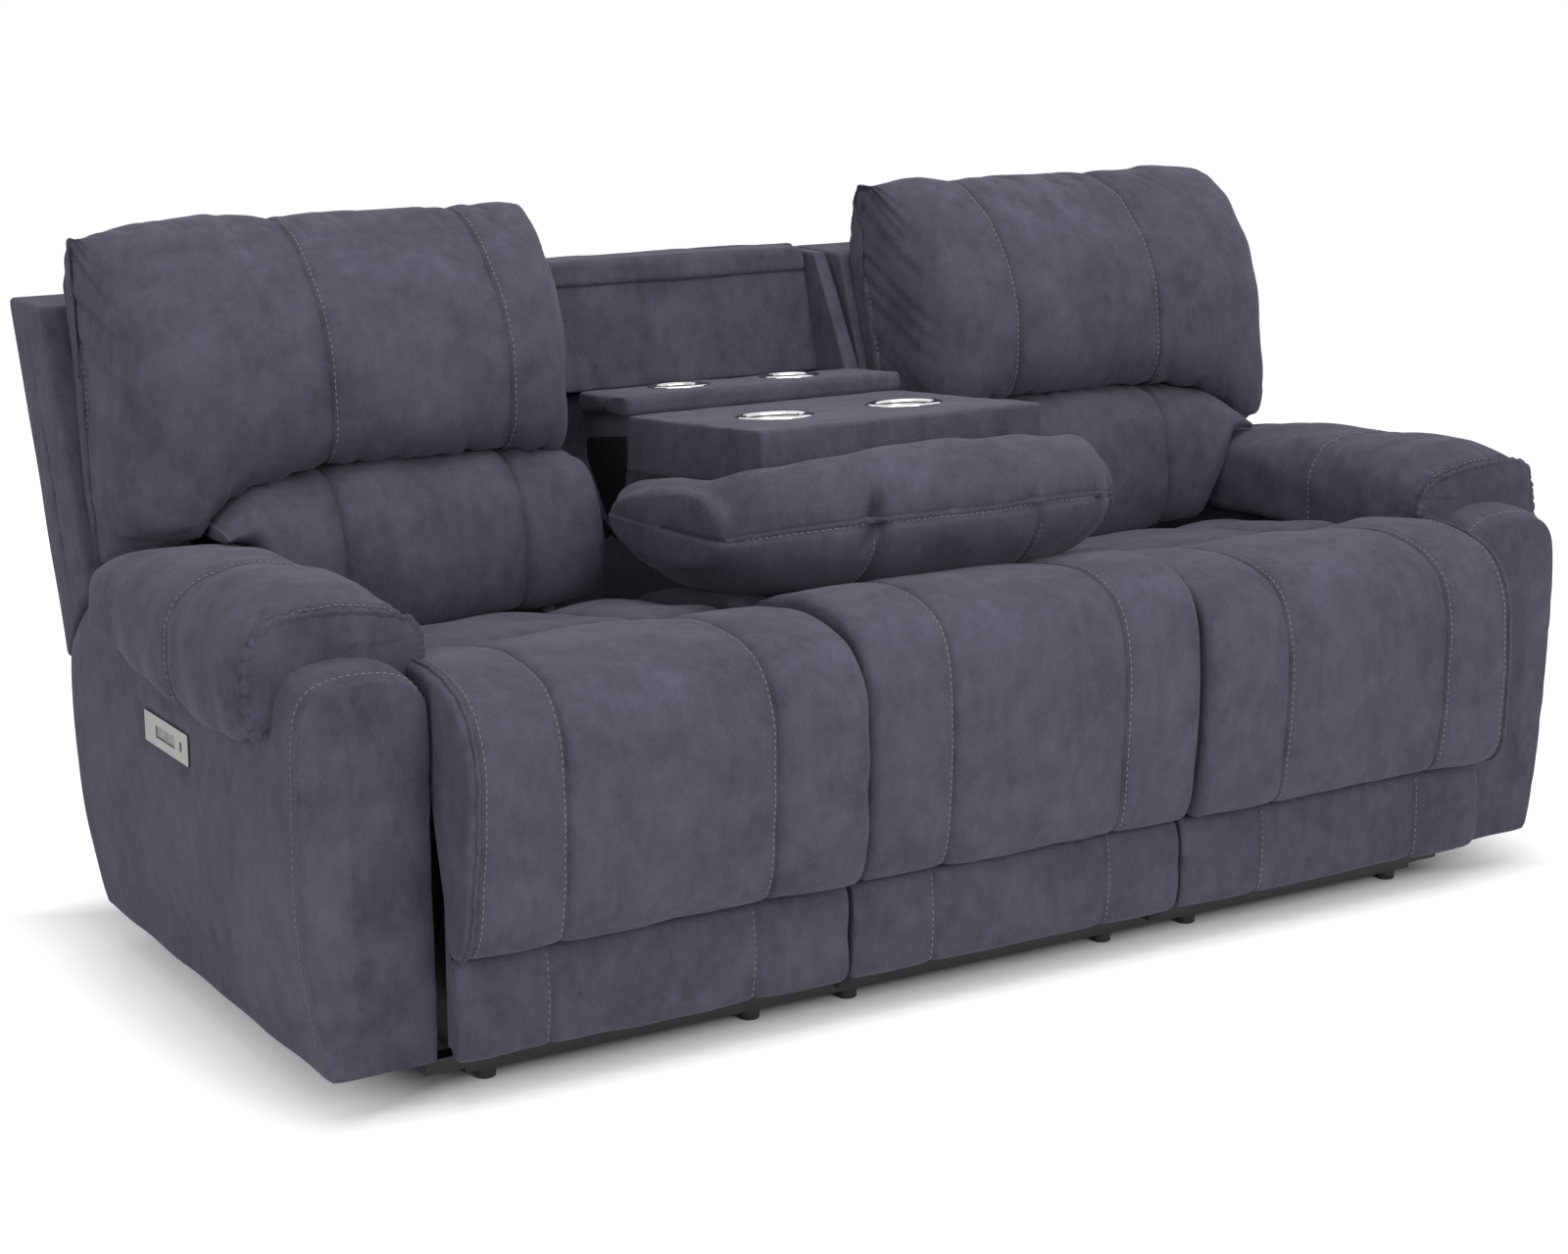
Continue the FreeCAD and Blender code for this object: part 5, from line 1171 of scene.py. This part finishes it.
FOLDED = {
    0.000: [(0.048, 0.668), (0.053, 0.704), (0.078, 0.736), (0.116, 0.752), (0.153, 0.754),
            (0.183, 0.744), (0.194, 0.718), (0.198, 0.690), (0.235, 0.681), (0.320, 0.676),
            (0.420, 0.668), (0.520, 0.659), (0.580, 0.648), (0.598, 0.612), (0.582, 0.566),
            (0.510, 0.532), (0.410, 0.518), (0.300, 0.518), (0.205, 0.528), (0.130, 0.553),
            (0.080, 0.594), (0.055, 0.634)],
    0.240: [(0.084, 0.662), (0.088, 0.694), (0.107, 0.722), (0.135, 0.736), (0.162, 0.738),
            (0.186, 0.730), (0.196, 0.710), (0.206, 0.690), (0.245, 0.681), (0.325, 0.675),
            (0.420, 0.666), (0.515, 0.656), (0.570, 0.644), (0.588, 0.610), (0.572, 0.570),
            (0.505, 0.540), (0.410, 0.528), (0.310, 0.530), (0.222, 0.540), (0.155, 0.562),
            (0.112, 0.598), (0.090, 0.632)],
    0.320: [(0.134, 0.648), (0.138, 0.676), (0.152, 0.700), (0.174, 0.714), (0.198, 0.719),
            (0.222, 0.718), (0.246, 0.713), (0.275, 0.706), (0.320, 0.698), (0.380, 0.688),
            (0.440, 0.676), (0.500, 0.661), (0.540, 0.642), (0.552, 0.614), (0.538, 0.585),
            (0.484, 0.562), (0.410, 0.552), (0.335, 0.551), (0.258, 0.560), (0.194, 0.578),
            (0.154, 0.603), (0.137, 0.627)],
    0.345: [(0.160, 0.640), (0.164, 0.660), (0.178, 0.678), (0.198, 0.690), (0.222, 0.696),
            (0.250, 0.697), (0.280, 0.696), (0.310, 0.692), (0.350, 0.685), (0.395, 0.675),
            (0.440, 0.662), (0.475, 0.648), (0.492, 0.634), (0.497, 0.618), (0.486, 0.600),
            (0.450, 0.583), (0.395, 0.575), (0.335, 0.575), (0.272, 0.581), (0.218, 0.594),
            (0.180, 0.612), (0.164, 0.626)],
}
FOLDED_SEAMS = (-0.136, 0.136)
LEFT_SHARE = 0.92
TUCKS = ((-0.150, 0.18, 0.016, 0.045, 0.009), (-0.140, -0.45, 0.015, 0.045, 0.010),
         (0.118, 0.5, 0.006, 0.014, 0.006), (-0.02, 0.3, 0.004, 0.012, 0.006),
         (-0.095, 0.1, 0.004, 0.012, 0.006), (0.290, -0.6, 0.010, 0.050, 0.012))

places = sorted(FOLDED)
knots = np.array([FOLDED[place] for place in places[:0:-1] + places])
places = [-LEFT_SHARE * place for place in places[:0:-1]] + places
x = stations(-0.317, 0.345, FOLDED_SEAMS, 0.0058)
flat = ring_through(eased(x, places, knots), 0.0058)
rows = with_ends(swept(x, flat), 0, (0.018, 0.018), (0.004, 0.004))
x, y, z = rows[..., 0].copy(), rows[..., 1], rows[..., 2]
run = round_distance(rows)
length = run[:, -1:] + 0.0058
signed = np.where(run > length / 2, run - length, run)
to_seam = np.abs(signed)
above, below = signed > 0, signed < 0
puff = unevenness(rows, 0.24, 0.0024, 141)
puff += crown(x, (-0.37, *FOLDED_SEAMS, 0.37), 0.004) * below
puff += valley(x, FOLDED_SEAMS, 0.0040, 0.0055) * below
puff += gathers(x, to_seam, -0.36, 0.36, 0.085, 0.0026, 0.030, 143)
for place, lean, deep, far, wide in TUCKS:
    across = (x - place - lean * to_seam) / wide
    puff -= deep * (above if lean > 0 else below) * np.exp(-across**2) * np.exp(-(to_seam / far) ** 2)
puff -= 0.0060 * np.exp(-((signed + 0.003) / 0.005) ** 2)
under_slab = (np.abs(x) < 0.252) & (y > 0.186) & (z > 0.64)
# Painted light and shade after the swell, and painted shade along the sewn and welted edge.
folded = covered("folded_cushion", "console", ["console_pad"], rows, puff * ~under_slab,
                 puff * 18 + valley(signed, (-0.003,), 0.15, 0.004))
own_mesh(folded)
span = np.linspace(10, len(rows) - 11, 300)
topstitch("folded", rows, span, rows.shape[1] - 0.9)
flange = welt("folded_welt", "console", rows, span, np.full(300, 0.05), 0.0030, 0.0050, 0.0010)
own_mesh(flange)
seam_rows("folded", rows, FOLDED_SEAMS, (0.205, 0.528), (0.055, 0.640), 0.0062)

LIP = np.array([
    (-0.0040, -0.016), (-0.0022, -0.006), (-0.0005, 0.0012), (0.0030, 0.0036), (0.0080, 0.0040),
    (0.0115, 0.0030), (0.0130, 0.0008), (0.0118, -0.0004), (0.0060, 0.0002), (0.0005, -0.0050),
    (-0.0012, -0.0160)])
turn = np.linspace(0, 2 * np.pi, 97)[:-1, None]
for row, (place, along, r), up in (("front", FRONT_CUPS, 0.0), ("rear", REAR_CUPS, TRAY_RISE)):
    y, z = table_points(along + (r + LIP[:, 0]) * np.sin(turn), up + LIP[:, 1])
    n, m = y.shape
    faces = [(a * m + b, a * m + (b + 1) % m, ((a + 1) % n) * m + (b + 1) % m, ((a + 1) % n) * m + b)
             for a in range(n) for b in range(m)]
    for side, name in ((1, "right"), (-1, "left")):
        x = side * place + (r + LIP[:, 0]) * np.cos(turn)
        ring = new_object(row + "_cup_ring_" + name, np.stack([x, y, z], -1).reshape(-1, 3), faces)
        finished(ring, "console", ["cup_rings"], material=finishes["chrome"])


# Topstitching. Pale grey thread, one mesh for each run of seams that moves
# together.
thread, finish, place = new_material("pale_thread")
twist = finish.add("TexNoise", {}, {"Vector": place, "Scale": 900.0, "Detail": 2.0})
tone = finish.add("ValToRGB", {"stops": ((0.3, (0.16, 0.16, 0.175)), (0.7, (0.34, 0.34, 0.36)))},
                  {"Fac": twist})
relief = finish.add("Bump", {}, {"Strength": 0.5, "Distance": 0.0002, "Height": twist})
finish.surface({"Base Color": tone, "Roughness": 0.7, "Normal": relief})
for key, lines in threads.items():
    seam = stitching("topstitch_" + key, lines)
    seam.data.materials.append(thread)
    if key in ("footrest_left", "footrest_right"):
        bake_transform(seam)
    elif key == "folded":
        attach(seam, "console")
        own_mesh(seam)
    elif key.startswith("kick"):
        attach(seam, "root" if key == "kick_centre" else key.replace("kick", "footrest"))
    else:
        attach(seam, key)


# Record of the two boxes, so that the dressed sofa can be set against the
# bare one.
shown_box = [list(corner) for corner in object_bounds()]
